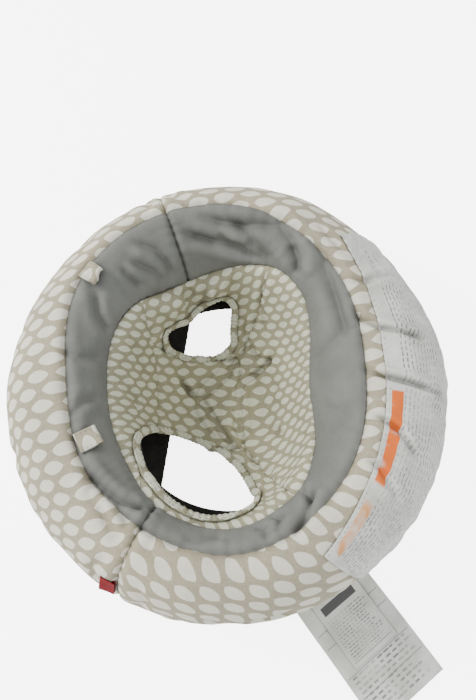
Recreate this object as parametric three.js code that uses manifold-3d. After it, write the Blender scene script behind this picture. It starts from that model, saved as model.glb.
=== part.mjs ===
// Baby floor support seat: a stuffed ring with a sling seat sewn inside it and two leg holes.
// Millimetres, +Z up. The origin is on the floor under the middle of the seat. The front, where the
// legs come out, faces -Y, and the baby's left is +X.
//
// The ring is described by two angles. "around" runs round the ring: 0 at the front, 90 at the
// baby's left, 180 at the back. "over" runs round the stuffed tube: 0 on the outer wall, 90 on top,
// 180 on the inner wall and 270 underneath.

import * as THREE from "three";
import { mergeVertices } from "three/addons/utils/BufferGeometryUtils.js";
import Module from "manifold-3d";

const wasm = await Module();
wasm.setup();

// ---------------------------------------------------------------- ring
const RING_OUTER_DIAMETER = 480;
const RING_HEIGHT = 180;
// Share of the tube's half height that its widest line stands above the floor.
const FLOOR_FLATTENING = 0.8;
// Tube width every 45 degrees round the ring, from the front by the baby's left to the back.
const TUBE_WIDTHS = [136, 128, 102, 132, 154, 134, 110, 130];
// "Over" angle of the seam between printed cover and plain cover, at the same places.
const PRINT_SEAM_ANGLES = [105, 102, 110, 108, 108, 102, 92, 84];
// "Over" angle of the seam where plain cover, sling and inner lining meet.
const SEAT_SEAM_ANGLES = [134, 131, 138, 156, 166, 138, 156, 143];
// "Around" angles of the two seams that part the front cover from the back cover.
const LEFT_CROSS_SEAM = 61;
const RIGHT_CROSS_SEAM = -73;
// How finely the soft solids are divided, round the ring and over the tube.
const RING_STEP_LENGTH = 38;
const RING_STEPS = 4 * Math.round((Math.PI * RING_OUTER_DIAMETER) / RING_STEP_LENGTH / 4);
const FILLING_STEPS = 18;
const PRINTED_STEPS = 10;
const PLAIN_STEPS = 4;
const LINING_STEPS = 5;
const SLING_WALL_STEPS = 3;
const SWING_STEPS = 7;
const BACK_LABEL_STEPS = 14;

// ---------------------------------------------------------------- fabric
const COVER_THICKNESS = 2;
const BASE_THICKNESS = 2;
const SLING_THICKNESS = 2;
const SEAM_GAP = 0.8;
const TOUCH_GAP = 0.5;
const FILLING_GAP = 2.4;
// Straight front edge of the base panel's D shaped opening, and the half width of that opening.
const BASE_OPENING_FRONT = 70;
const BASE_OPENING_RADIUS = 134;

// ---------------------------------------------------------------- sling
// "Over" angle where the sling leaves the inner wall and swings down to the floor.
const SLING_LEAVE_ANGLE = 165;
const SLING_BELLY_HEIGHT = 19;
const SLING_FLOOR_RADIUS = 45;
const CROTCH_FRONT = 86;
const CROTCH_BACK = 16;
const CROTCH_HALF_WIDTH = 60;
const SIDE_SEAM_SPREAD = 112;

// ---------------------------------------------------------------- leg holes
const LEG_DIRECTION_AROUND = 64;
const LEG_DIRECTION_DOWN = 40;
const LEG_HOLE_BACK_SHIFT = 6;
// The left hole is open nearly up to the ring's seam. On the right the cloth is bunched over it.
// Heights and middles are shares of the ring's height, measured along the hole's slope.
const LEFT_HOLE = { width: 124, heightShare: 0.72, riseShare: 0.67 };
const RIGHT_HOLE = { width: 120, heightShare: 0.59, riseShare: 0.605 };
const HEM_WIDTH = 9;
const HEM_THICKNESS = 4.4;
const HEM_WALL = 1;
const HEM_SLIT = 0.8;
const ELASTIC_WIDTH = 5;
const ELASTIC_THICKNESS = 1.2;
const HEM_STEPS = 28;
// Times that a search halves its stretch when it looks for the sling along a line.
const SEARCH_PASSES = 40;
// Distance over which the sling's slope is measured.
const SLOPE_STEP = 2;

// ---------------------------------------------------------------- loops, tag and labels
const TOY_LOOP_AROUND = { toy_loop_left: 26, toy_loop_right: -39 };
const TOY_LOOP_WIDTH = 20;
const TOY_LOOP_LENGTH = 22;
const TOY_LOOP_HEIGHT = 12;
const TAPE_THICKNESS = 1.2;
const LOOP_CURVE_STEPS = 6;
const SIDE_TAG_OVER = 44;
const SIDE_TAG_WIDTH = 24;
const SIDE_TAG_LENGTH = 15;
const SIDE_TAG_THICKNESS = 1.4;
const LABEL_THICKNESS = 0.8;
const LAW_LABEL_AROUND = 114;
const LAW_LABEL_YAW = 10;
const LAW_LABEL_WIDTH = 95;
const LAW_LABEL_LENGTH = 165;
const CARE_LABEL_WIDTH = 61;
const CARE_LABEL_LENGTH = 108;
const LABEL_LIFT = 0.4;
const LABEL_ROOT_GAP = 1.5;
const BACK_LABEL_STANDOFF = 1.8;
const BACK_LABEL_MIDDLE = 170;
const BACK_LABEL_SPREAD = 56;
const BACK_LABEL_TOP = 95;
const BACK_LABEL_BOTTOM = -30;
const BACK_LABEL_CORNER_DROP = 17;
const BACK_LABEL_END_LEAN = 0.12;

const DEGREE = Math.PI / 180;
const TURN = 360;
// Corners closer than this are one corner.
const WELD_DISTANCE = 1e-3;
const TINY = 1e-6;

// ---------------------------------------------------------------- materials
const fabric = (color, roughness) => new THREE.MeshStandardMaterial({ color, roughness, metalness: 0 });
const PRINTED_COTTON = () => fabric(0xb9ac96, 0.9);
const GREY_KNIT = () => fabric(0x979893, 0.95);
const CHARCOAL_LINING = () => fabric(0x433f3b, 0.9);
const POLYESTER_FILLING = () => fabric(0xf2f0ea, 0.95);
const LABEL_PAPER = () => fabric(0xe0e1da, 0.6);
const RED_TAPE = () => fabric(0xa5142a, 0.6);
const ELASTIC_RUBBER = () => fabric(0xdcd8d0, 0.8);

const part = new THREE.Group();

function addPiece(name, geometry, material, parent = part) {
  const mesh = new THREE.Mesh(geometry, material);
  mesh.name = name;
  parent.add(mesh);
  return mesh;
}

// ---------------------------------------------------------------- the tube's shape
// Smooth value at an angle round the ring, through values given at equal steps.
function roundTheRing(values, around) {
  const count = values.length;
  const place = ((around % TURN) + TURN) % TURN / (TURN / count);
  const index = Math.floor(place);
  const t = place - index;
  const at = (k) => values[(index + k + count) % count];
  const [p0, p1, p2, p3] = [at(-1), at(0), at(1), at(2)];
  const linear = p2 - p0;
  const square = 2 * p0 - 5 * p1 + 4 * p2 - p3;
  const cube = 3 * p1 - p0 - 3 * p2 + p3;
  return 0.5 * (2 * p1 + linear * t + square * t * t + cube * t * t * t);
}

const TUBE_HALF_HEIGHT = RING_HEIGHT / (1 + FLOOR_FLATTENING);
const TUBE_MIDDLE_HEIGHT = TUBE_HALF_HEIGHT * FLOOR_FLATTENING;

const tubeHalfWidth = (around) => roundTheRing(TUBE_WIDTHS, around) / 2;
const tubeMiddleRadius = (around) => RING_OUTER_DIAMETER / 2 - tubeHalfWidth(around);
const printSeam = (around) => roundTheRing(PRINT_SEAM_ANGLES, around);
const seatSeam = (around) => roundTheRing(SEAT_SEAM_ANGLES, around);

// Point of the tube's wall as radius and height, moved out from the wall by an offset.
function tubeWall(around, over, offset = 0) {
  const halfWidth = tubeHalfWidth(around);
  const cos = Math.cos(over * DEGREE);
  const sin = Math.sin(over * DEGREE);
  const normal = new THREE.Vector2(cos / halfWidth, sin / TUBE_HALF_HEIGHT).normalize();
  return new THREE.Vector2(
    tubeMiddleRadius(around) + halfWidth * cos + normal.x * offset,
    TUBE_MIDDLE_HEIGHT + TUBE_HALF_HEIGHT * sin + normal.y * offset,
  );
}

function ringPoint(around, radius, height) {
  return new THREE.Vector3(radius * Math.sin(around * DEGREE), -radius * Math.cos(around * DEGREE), height);
}

const onTube = (around, over, offset) => {
  const wall = tubeWall(around, over, offset);
  return ringPoint(around, wall.x, wall.y);
};

// "Over" angle on the lower outer wall at a height above the floor.
const footAngle = (height) => Math.asin((height - TUBE_MIDDLE_HEIGHT) / TUBE_HALF_HEIGHT) / DEGREE;

// ---------------------------------------------------------------- solids from rows of points
// A closed body from rows of points. Each row is a closed loop. The rows join one to the next, and
// the last to the first when the body runs right round. Otherwise both end rows are capped by
// strips between the loop's two halves.
function bodyFromLoops(loops, runsRound) {
  const positions = loops.flat().flatMap((p) => [p.x, p.y, p.z]);
  const size = loops[0].length;
  const faces = [];
  const quad = (a, b, c, d) => faces.push([a, b, c], [a, c, d]);
  const rows = runsRound ? loops.length : loops.length - 1;
  for (let row = 0; row < rows; row++) {
    const next = (row + 1) % loops.length;
    for (let k = 0; k < size; k++) {
      const after = (k + 1) % size;
      quad(row * size + k, row * size + after, next * size + after, next * size + k);
    }
  }
  if (!runsRound) {
    const last = (loops.length - 1) * size;
    for (let k = 0; k < size / 2 - 1; k++) {
      const across = size - 1 - k;
      quad(k, across, across - 1, k + 1);
      quad(last + k, last + k + 1, last + across - 1, last + across);
    }
  }
  return closedGeometry(positions, faces);
}

// Welds the corners, drops faces that have no area and turns the faces outward.
function closedGeometry(positions, faces) {
  let geometry = new THREE.BufferGeometry();
  geometry.setAttribute("position", new THREE.Float32BufferAttribute(positions, 3));
  geometry.setIndex(faces.flat());
  geometry = mergeVertices(geometry, WELD_DISTANCE);
  const index = Array.from(geometry.index.array);
  const kept = [];
  for (let i = 0; i < index.length; i += 3) {
    const [a, b, c] = index.slice(i, i + 3);
    if (a !== b && b !== c && c !== a) kept.push([a, b, c]);
  }
  const corner = (i) => new THREE.Vector3().fromBufferAttribute(geometry.attributes.position, i);
  const volume = kept.reduce((sum, [a, b, c]) => sum + corner(a).dot(corner(b).cross(corner(c))), 0);
  geometry.setIndex((volume > 0 ? kept : kept.map(([a, b, c]) => [a, c, b])).flat());
  return geometry;
}

function range(from, to, steps) {
  return Array.from({ length: steps + 1 }, (_, i) => from + ((to - from) * i) / steps);
}

const fullTurn = (steps) => Array.from({ length: steps }, (_, i) => (i * TURN) / steps);

// A sheet of cloth on the tube between two "over" angles, given as functions of the angle around.
function clothOnTube({ arounds, from, to, steps, inside, outside, runsRound }) {
  const loops = arounds.map((around) => {
    const overs = range(from(around), to(around), steps);
    const outer = overs.map((over) => onTube(around, over, outside));
    const inner = overs.map((over) => onTube(around, over, inside)).reverse();
    return [...outer, ...inner];
  });
  return bodyFromLoops(loops, runsRound);
}

// ---------------------------------------------------------------- filling, covers, lining, base
const COVER_FOOT = footAngle(BASE_THICKNESS + TOUCH_GAP);
const seamGapAngle = SEAM_GAP / 2 / TUBE_HALF_HEIGHT / DEGREE;
const crossGapAngle = SEAM_GAP / 2 / (RING_OUTER_DIAMETER / 2 - Math.max(...TUBE_WIDTHS)) / DEGREE;

function ringFilling() {
  const overs = fullTurn(FILLING_STEPS);
  const floorHeight = BASE_THICKNESS + TOUCH_GAP;
  const loops = fullTurn(RING_STEPS).map((around) =>
    overs.map((over) => {
      const wall = tubeWall(around, over, -COVER_THICKNESS - FILLING_GAP);
      return ringPoint(around, wall.x, Math.max(wall.y, floorHeight));
    }),
  );
  return bodyFromLoops(loops, true);
}

function coverPanel(start, end, from, to, steps) {
  const spanSteps = Math.round(((end - start) / TURN) * RING_STEPS);
  return clothOnTube({
    arounds: range(start + crossGapAngle, end - crossGapAngle, spanSteps),
    from,
    to,
    steps,
    inside: -COVER_THICKNESS,
    outside: 0,
    runsRound: false,
  });
}

const printedFrom = () => COVER_FOOT;
const printedTo = (around) => printSeam(around) - seamGapAngle;
const plainFrom = (around) => printSeam(around) + seamGapAngle;
const plainTo = (around) => seatSeam(around) - seamGapAngle;

function innerLining() {
  return clothOnTube({
    arounds: fullTurn(RING_STEPS),
    from: (around) => seatSeam(around) + seamGapAngle,
    to: () => TURN / 2 - COVER_FOOT,
    steps: LINING_STEPS,
    inside: -COVER_THICKNESS,
    outside: 0,
    runsRound: true,
  });
}

// Flat D shaped ring under the tube. Its opening has a straight edge across the front.
function basePanel() {
  const foot = footAngle(0);
  const loops = fullTurn(RING_STEPS).map((around) => {
    const outer = tubeWall(around, foot).x - TOUCH_GAP;
    const straight = BASE_OPENING_FRONT / Math.max(Math.cos(around * DEGREE), TINY);
    const inner = Math.min(BASE_OPENING_RADIUS, straight, tubeWall(around, TURN / 2 - foot).x);
    return [
      ringPoint(around, outer, 0),
      ringPoint(around, outer, BASE_THICKNESS),
      ringPoint(around, inner, BASE_THICKNESS),
      ringPoint(around, inner, 0),
    ];
  });
  return bodyFromLoops(loops, true);
}

// ---------------------------------------------------------------- the sling
// Lower face of the sling as radius and height, from its seam down to the floor and in to the middle.
function slingProfile(around) {
  const seam = seatSeam(around);
  const leave = Math.max(SLING_LEAVE_ANGLE, seam + 1);
  const wall = range(seam, leave, SLING_WALL_STEPS).map((over) => tubeWall(around, over, TOUCH_GAP));
  const start = wall[wall.length - 1];
  const sin = Math.sin(leave * DEGREE);
  const cos = Math.cos(leave * DEGREE);
  const tangent = new THREE.Vector2(-tubeHalfWidth(around) * sin, TUBE_HALF_HEIGHT * cos);
  const reach = (SLING_BELLY_HEIGHT - start.y) / tangent.y;
  const belly = start.clone().addScaledVector(tangent, reach);
  const landing = new THREE.Vector2(SLING_FLOOR_RADIUS, 0);
  const swing = new THREE.QuadraticBezierCurve(start, belly, landing).getPoints(SWING_STEPS).slice(1);
  const floor = [new THREE.Vector2(SLING_FLOOR_RADIUS / 2, 0), new THREE.Vector2(0, 0)];
  return [...wall, ...swing, ...floor];
}

// The same profile moved to the sling's inner side.
function slingInnerProfile(profile, offset) {
  const last = profile.length - 1;
  return profile.map((point, k) => {
    if (k === last) return new THREE.Vector2(0, offset);
    const ahead = profile[Math.min(k + 1, last)];
    const behind = profile[Math.max(k - 1, 0)];
    const along = ahead.clone().sub(behind).normalize();
    const inward = new THREE.Vector2(along.y, -along.x);
    return new THREE.Vector2(point.x + inward.x * offset, point.y + inward.y * offset);
  });
}

function wholeSling() {
  const loops = fullTurn(RING_STEPS).map((around) => {
    const lower = slingProfile(around);
    const upper = slingInnerProfile(lower, SLING_THICKNESS).reverse();
    return [...lower, ...upper].map((p) => ringPoint(around, p.x, p.y));
  });
  return bodyFromLoops(loops, true);
}

// Radius of the sling's lower face at a height, for one angle around.
function slingRadius(around, height) {
  const profile = slingProfile(around);
  const found = profile.findIndex((p) => p.y <= height);
  if (found <= 0) return found === 0 ? profile[0].x : SLING_FLOOR_RADIUS;
  const [high, low] = [profile[found - 1], profile[found]];
  const share = (height - low.y) / Math.max(high.y - low.y, TINY);
  return low.x + (high.x - low.x) * share;
}

// Positive outside the sling, negative in the seat.
function outsideSling(point) {
  const around = Math.atan2(point.x, -point.y) / DEGREE;
  return Math.hypot(point.x, point.y) - slingRadius(around, point.z);
}

// ---------------------------------------------------------------- leg holes
// Directions of one leg hole: out along the leg, back along the seat's side, and up its slope.
function legFrame(side) {
  const hole = side > 0 ? LEFT_HOLE : RIGHT_HOLE;
  const around = LEG_DIRECTION_AROUND * DEGREE;
  const down = LEG_DIRECTION_DOWN * DEGREE;
  const out = new THREE.Vector3(
    side * Math.sin(around) * Math.cos(down),
    -Math.cos(around) * Math.cos(down),
    -Math.sin(down),
  );
  const back = new THREE.Vector3(side * Math.cos(around), Math.sin(around), 0);
  const up = new THREE.Vector3(
    side * Math.sin(around) * Math.sin(down),
    -Math.cos(around) * Math.sin(down),
    Math.cos(down),
  );
  return { hole, out, back, up };
}

// Point on an oval that is the leg hole's edge grown by a width, at a depth along the leg.
function legOval({ hole, out, back, up }, turn, growth, depth) {
  const across = LEG_HOLE_BACK_SHIFT + (hole.width / 2 + growth) * Math.cos(turn * DEGREE);
  const halfHeight = (hole.heightShare * RING_HEIGHT) / 2;
  const rise = hole.riseShare * RING_HEIGHT + (halfHeight + growth) * Math.sin(turn * DEGREE);
  return new THREE.Vector3()
    .addScaledVector(back, across)
    .addScaledVector(up, rise)
    .addScaledVector(out, depth);
}

const LEG_PUNCH_START = -40;
const LEG_PUNCH_END = 120;

function legPunch(side) {
  const frame = legFrame(side);
  const growth = HEM_WIDTH + TOUCH_GAP;
  const turns = fullTurn(HEM_STEPS);
  const ends = [LEG_PUNCH_START, LEG_PUNCH_END];
  const positions = ends.flatMap((depth) => turns.map((turn) => legOval(frame, turn, growth, depth)));
  const middle = ends.map((depth) => legOval(frame, 0, -frame.hole.width / 2, depth));
  const corners = [...positions, ...middle].flatMap((p) => [p.x, p.y, p.z]);
  const count = turns.length;
  const faces = turns.flatMap((_, k) => {
    const next = (k + 1) % count;
    return [
      [k, next, count + next],
      [k, count + next, count + k],
      [2 * count, next, k],
      [2 * count + 1, count + k, count + next],
    ];
  });
  return closedGeometry(corners, faces);
}

// Centre line of a hem: where the middle of the hem's band meets the sling.
function hemRoute(side) {
  const frame = legFrame(side);
  return fullTurn(HEM_STEPS).map((turn) => {
    let inside = LEG_PUNCH_START;
    let outside = LEG_PUNCH_END;
    for (let pass = 0; pass < SEARCH_PASSES; pass++) {
      const depth = (inside + outside) / 2;
      if (outsideSling(legOval(frame, turn, HEM_WIDTH / 2, depth)) > 0) outside = depth;
      else inside = depth;
    }
    return legOval(frame, turn, HEM_WIDTH / 2, inside);
  });
}

function slingNormal(point) {
  const step = SLOPE_STEP;
  const slope = (dx, dy, dz) =>
    outsideSling(point.clone().add(new THREE.Vector3(dx, dy, dz))) -
    outsideSling(point.clone().sub(new THREE.Vector3(dx, dy, dz)));
  return new THREE.Vector3(slope(step, 0, 0), slope(0, step, 0), slope(0, 0, step)).negate().normalize();
}

// Sweeps a section, given as points (across the hem, out of the cloth), round a leg hole.
function roundLegHole(side, section) {
  const route = hemRoute(side);
  const count = route.length;
  const middle = route.reduce((sum, p) => sum.add(p), new THREE.Vector3()).divideScalar(count);
  const lift = HEM_THICKNESS / 2 + TOUCH_GAP;
  const loops = route.map((point, k) => {
    const along = route[(k + 1) % count].clone().sub(route[(k + count - 1) % count]).normalize();
    const normal = slingNormal(point);
    normal.addScaledVector(along, -normal.dot(along)).normalize();
    const across = along.clone().cross(normal).normalize();
    if (across.dot(point.clone().sub(middle)) < 0) across.negate();
    return section.map(([b, n]) =>
      point
        .clone()
        .addScaledVector(across, b)
        .addScaledVector(normal, n + lift),
    );
  });
  return bodyFromLoops(loops, true);
}

// A folded hem: a casing open only by the slit where it meets the sling.
function hemSection() {
  const halfWidth = HEM_WIDTH / 2;
  const half = HEM_THICKNESS / 2;
  const slit = HEM_SLIT / 2;
  return [
    [-halfWidth, -half],
    [halfWidth, -half],
    [halfWidth, -slit],
    [halfWidth - HEM_WALL, -slit],
    [halfWidth - HEM_WALL, -half + HEM_WALL],
    [-halfWidth + HEM_WALL, -half + HEM_WALL],
    [-halfWidth + HEM_WALL, half - HEM_WALL],
    [halfWidth - HEM_WALL, half - HEM_WALL],
    [halfWidth - HEM_WALL, slit],
    [halfWidth, slit],
    [halfWidth, half],
    [-halfWidth, half],
  ];
}

function elasticSection() {
  const halfWidth = ELASTIC_WIDTH / 2;
  const half = ELASTIC_THICKNESS / 2;
  return [
    [-halfWidth, -half],
    [halfWidth, -half],
    [halfWidth, half],
    [-halfWidth, half],
  ];
}

// ---------------------------------------------------------------- sling panels
function solidFrom(geometry) {
  const bare = geometry.clone();
  bare.deleteAttribute("normal");
  bare.deleteAttribute("uv");
  const merged = mergeVertices(bare, WELD_DISTANCE);
  const mesh = new wasm.Mesh({
    numProp: 3,
    vertProperties: new Float32Array(merged.attributes.position.array),
    triVerts: new Uint32Array(merged.index.array),
  });
  return new wasm.Manifold(mesh);
}

function geometryFrom(solid) {
  const mesh = solid.getMesh();
  const geometry = new THREE.BufferGeometry();
  geometry.setAttribute("position", new THREE.BufferAttribute(mesh.vertProperties, 3));
  geometry.setIndex(new THREE.BufferAttribute(mesh.triVerts, 1));
  return geometry;
}

// An upright block over an outline in plan, taller than the sling.
function planBlock(corners) {
  const shape = new THREE.Shape(corners.map(([x, y]) => new THREE.Vector2(x, y)));
  const geometry = new THREE.ExtrudeGeometry(shape, { depth: RING_HEIGHT * 2, bevelEnabled: false });
  geometry.translate(0, 0, -RING_HEIGHT / 2);
  return solidFrom(geometry);
}

// Plan outlines of the five sling panels, each half a seam gap inside the seams.
function panelOutlines() {
  const g = SEAM_GAP / 2;
  const far = RING_OUTER_DIAMETER;
  const front = -CROTCH_FRONT;
  const back = CROTCH_BACK;
  const half = CROTCH_HALF_WIDTH;
  const spread = SIDE_SEAM_SPREAD;
  // The side seams run out from the crotch seams' ends, and fan out toward the back.
  const backReach = (far - half) / Math.tan((spread / 2) * DEGREE) + back;
  const sidePanel = (side) => [
    [side * (half + g), front],
    [side * far, front],
    [side * far, backReach - g],
    [side * (half + g), back - g],
  ];
  return {
    seat_front_panel: [
      [-far, -far],
      [far, -far],
      [far, front - g],
      [-far, front - g],
    ],
    seat_crotch_panel: [
      [-half + g, front + g],
      [half - g, front + g],
      [half - g, back - g],
      [-half + g, back - g],
    ],
    seat_back_panel: [
      [-half, back + g],
      [half, back + g],
      [far, backReach + g],
      [far, far],
      [-far, far],
      [-far, backReach + g],
    ],
    seat_left_panel: sidePanel(1),
    seat_right_panel: sidePanel(-1),
  };
}

function addSling() {
  const sling = solidFrom(wholeSling()).subtract(solidFrom(legPunch(1))).subtract(solidFrom(legPunch(-1)));
  for (const [name, outline] of Object.entries(panelOutlines())) {
    addPiece(name, geometryFrom(sling.intersect(planBlock(outline))), PRINTED_COTTON());
  }
}

// ---------------------------------------------------------------- loops, tag and labels
// A group whose local +X points out from the ring, +Y along the seam and +Z off the cloth.
function placeOnTube(around, over, offset) {
  const group = new THREE.Group();
  const wall = tubeWall(around, over);
  const ahead = tubeWall(around, over - 1);
  const out = ringPoint(around, ahead.x - wall.x, ahead.y - wall.y).normalize();
  const along = ringPoint(around + 90, 1, 0);
  const off = out.clone().cross(along);
  group.matrix.makeBasis(out, along, off);
  group.matrix.setPosition(onTube(around, over, offset));
  group.matrix.decompose(group.position, group.quaternion, group.scale);
  part.add(group);
  return group;
}

function slab(length, width, thickness, startX, startZ) {
  const geometry = new THREE.BoxGeometry(length, width, thickness);
  geometry.translate(startX + length / 2, 0, startZ + thickness / 2);
  return geometry;
}

// A loop of folded tape, lying inward from the seam that holds its ends.
function toyLoop() {
  const round = TOY_LOOP_HEIGHT / 2;
  const outline = (shape, radius, length) => {
    shape.moveTo(round, -radius);
    shape.lineTo(length - round, -radius);
    shape.absarc(length - round, 0, radius, -Math.PI / 2, Math.PI / 2, false);
    shape.lineTo(round, radius);
    shape.absarc(round, 0, radius, Math.PI / 2, (3 * Math.PI) / 2, false);
    return shape;
  };
  const shape = outline(new THREE.Shape(), round, TOY_LOOP_LENGTH);
  shape.holes.push(outline(new THREE.Path(), round - TAPE_THICKNESS, TOY_LOOP_LENGTH));
  const geometry = new THREE.ExtrudeGeometry(shape, {
    depth: TOY_LOOP_WIDTH,
    bevelEnabled: false,
    curveSegments: LOOP_CURVE_STEPS,
  });
  geometry.rotateX(Math.PI / 2);
  geometry.translate(0, TOY_LOOP_WIDTH / 2, round);
  return geometry;
}

function addToyLoops() {
  for (const [name, around] of Object.entries(TOY_LOOP_AROUND)) {
    const group = placeOnTube(around, printSeam(around), TOUCH_GAP);
    group.rotateZ(Math.PI);
    addPiece(name, toyLoop(), PRINTED_COTTON(), group);
  }
}

function addSideTag() {
  const group = placeOnTube(LEFT_CROSS_SEAM, SIDE_TAG_OVER, 0);
  const lift = SIDE_TAG_THICKNESS + TOUCH_GAP;
  const geometry = new THREE.BoxGeometry(SIDE_TAG_WIDTH, SIDE_TAG_LENGTH, SIDE_TAG_THICKNESS);
  geometry.translate(0, -SIDE_TAG_LENGTH / 2, lift);
  addPiece("side_tag", geometry, RED_TAPE(), group);
}

// Both labels are sewn into the base seam, one on the other, and lie out on the floor.
function addFloorLabels() {
  const yaw = LAW_LABEL_YAW * DEGREE;
  const group = new THREE.Group();
  const half = LAW_LABEL_WIDTH / 2;
  const baseEdge = tubeWall(LAW_LABEL_AROUND, COVER_FOOT).x;
  // The turned root line stays clear of the round base edge.
  const clearance = (Math.tan(yaw) ** 2 * baseEdge) / 2 + LABEL_ROOT_GAP;
  group.position.copy(ringPoint(LAW_LABEL_AROUND, baseEdge + clearance, 0));
  group.rotation.z = (LAW_LABEL_AROUND - 90) * DEGREE + yaw;
  part.add(group);
  const law = slab(LAW_LABEL_LENGTH, 2 * half, LABEL_THICKNESS, 0, LABEL_LIFT);
  const careHeight = 2 * LABEL_LIFT + LABEL_THICKNESS;
  const care = slab(CARE_LABEL_LENGTH, CARE_LABEL_WIDTH, LABEL_THICKNESS, 0, careHeight);
  addPiece("law_label", law, LABEL_PAPER(), group);
  addPiece("care_label", care, LABEL_PAPER(), group);
}

// The big label sewn over the back of the ring. Its upper corners drop and its ends lean out.
function backLabel() {
  const loops = range(-1, 1, BACK_LABEL_STEPS).map((share) => {
    const top = BACK_LABEL_TOP - BACK_LABEL_CORNER_DROP * Math.abs(share) ** 3;
    const place = (over, offset) => {
      const lean = (top - over) * BACK_LABEL_END_LEAN;
      const around = BACK_LABEL_MIDDLE + share * (BACK_LABEL_SPREAD - lean);
      return onTube(around, over, offset);
    };
    const overs = range(BACK_LABEL_BOTTOM, top, PRINTED_STEPS);
    const outer = overs.map((over) => place(over, BACK_LABEL_STANDOFF + LABEL_THICKNESS));
    const inner = overs.map((over) => place(over, BACK_LABEL_STANDOFF)).reverse();
    return [...outer, ...inner];
  });
  return bodyFromLoops(loops, false);
}

// ---------------------------------------------------------------- assembly
const backStart = LEFT_CROSS_SEAM;
const backEnd = TURN + RIGHT_CROSS_SEAM;

addPiece("ring_filling", ringFilling(), POLYESTER_FILLING());
addPiece(
  "front_print_panel",
  coverPanel(RIGHT_CROSS_SEAM, LEFT_CROSS_SEAM, printedFrom, printedTo, PRINTED_STEPS),
  PRINTED_COTTON(),
);
addPiece(
  "back_print_panel",
  coverPanel(backStart, backEnd, printedFrom, printedTo, PRINTED_STEPS),
  PRINTED_COTTON(),
);
addPiece(
  "front_grey_panel",
  coverPanel(RIGHT_CROSS_SEAM, LEFT_CROSS_SEAM, plainFrom, plainTo, PLAIN_STEPS),
  GREY_KNIT(),
);
addPiece("back_grey_panel", coverPanel(backStart, backEnd, plainFrom, plainTo, PLAIN_STEPS), GREY_KNIT());
addPiece("inner_lining", innerLining(), CHARCOAL_LINING());
addPiece("base_panel", basePanel(), CHARCOAL_LINING());
addSling();
for (const [name, side] of Object.entries({ left: 1, right: -1 })) {
  addPiece(`${name}_leg_hem`, roundLegHole(side, hemSection()), PRINTED_COTTON());
  addPiece(`${name}_leg_elastic`, roundLegHole(side, elasticSection()), ELASTIC_RUBBER());
}
addToyLoops();
addSideTag();
addPiece("back_label", backLabel(), LABEL_PAPER());
addFloorLabels();

export default part;
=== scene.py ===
"""Baby floor support seat: cloth, stitching, labels and studio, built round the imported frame.

Metres, +Z up. The ring is described by two angles in degrees. "around" runs round the ring: 0 at the
front, 90 at the baby's left, 180 at the back. "over" runs round the stuffed tube: 0 on the outer
wall, 90 on top, 180 on the inner wall.
"""

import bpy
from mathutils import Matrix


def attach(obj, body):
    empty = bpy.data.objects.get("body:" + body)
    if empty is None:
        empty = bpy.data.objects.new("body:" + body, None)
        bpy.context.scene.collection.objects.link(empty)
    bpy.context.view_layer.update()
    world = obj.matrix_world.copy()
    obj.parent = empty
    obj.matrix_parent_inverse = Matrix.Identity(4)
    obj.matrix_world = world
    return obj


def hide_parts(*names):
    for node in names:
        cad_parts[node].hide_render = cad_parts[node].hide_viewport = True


bl_info = {
    "name": "Floor Support Seat",
    "version": (1, 0, 0),
    "blender": (4, 5, 0),
    "location": "View3D > Sidebar > Seat",
    "description": "Builds the cloth, stitching and labels of a baby floor support seat",
    "category": "Add Mesh",
}

import functools
import math

import bmesh
import bpy
import numpy as np
from bpy.props import FloatProperty, FloatVectorProperty, PointerProperty
from mathutils import Matrix, Vector
from mathutils.bvhtree import BVHTree

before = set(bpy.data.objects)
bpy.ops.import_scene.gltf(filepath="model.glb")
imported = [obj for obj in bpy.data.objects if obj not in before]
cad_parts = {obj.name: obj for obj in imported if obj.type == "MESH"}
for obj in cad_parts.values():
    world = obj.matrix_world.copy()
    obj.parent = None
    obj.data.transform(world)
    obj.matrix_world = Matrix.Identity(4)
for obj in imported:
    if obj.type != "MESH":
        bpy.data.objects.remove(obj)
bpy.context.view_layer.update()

DEGREE = math.pi / 180
MM = 0.001

# ---------------------------------------------------------------- ring sizes
RING_RADIUS = 240 * MM
TUBE_HALF_HEIGHT = 100 * MM
TUBE_MIDDLE = 80 * MM
TUBE_WIDTHS = np.array([136, 128, 102, 132, 154, 134, 110, 130]) * MM
PRINT_SEAM = np.array([105, 102, 110, 108, 108, 102, 92, 84])
# Every 15 degrees.
SEAT_SEAM = np.array(
    [138, 138, 136, 132, 128, 134, 139, 141, 138, 147, 158, 161]
    + [158, 154, 147, 138, 137, 147, 158, 161, 153, 141, 136, 136]
)
LEFT_CROSS_SEAM = 61
RIGHT_CROSS_SEAM = -73
COVER_FOOT_HEIGHT = 2.5 * MM
COVER_STEP = 0.5
MIDDLE_LINE = 190 * MM
RING_TOP = 180 * MM
WALL_DROP_SHARE = 0.6

# ---------------------------------------------------------------- sling sizes
SLING_LEAVE = 165
SLING_BELLY_HEIGHT = 19 * MM
SLING_FLOOR_RADIUS = 45 * MM
SLING_OFF_WALL = 0.5 * MM
SLING_THICKNESS = 2 * MM
SLING_ROWS = 132
SLING_COLUMNS = 400
CROTCH_FRONT = -86 * MM
CROTCH_BACK = 16 * MM
CROTCH_HALF = 60 * MM
SIDE_SEAM_TILT = 112 / 2 * DEGREE

# ---------------------------------------------------------------- leg holes
LEG_AROUND = 64 * DEGREE
LEG_DOWN = 40 * DEGREE
# Middle of each hole, back along the seat's side and up the slope.
LEFT_MIDDLE = (6 * MM, 109 * MM)
RIGHT_MIDDLE = (10 * MM, 86 * MM)
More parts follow.
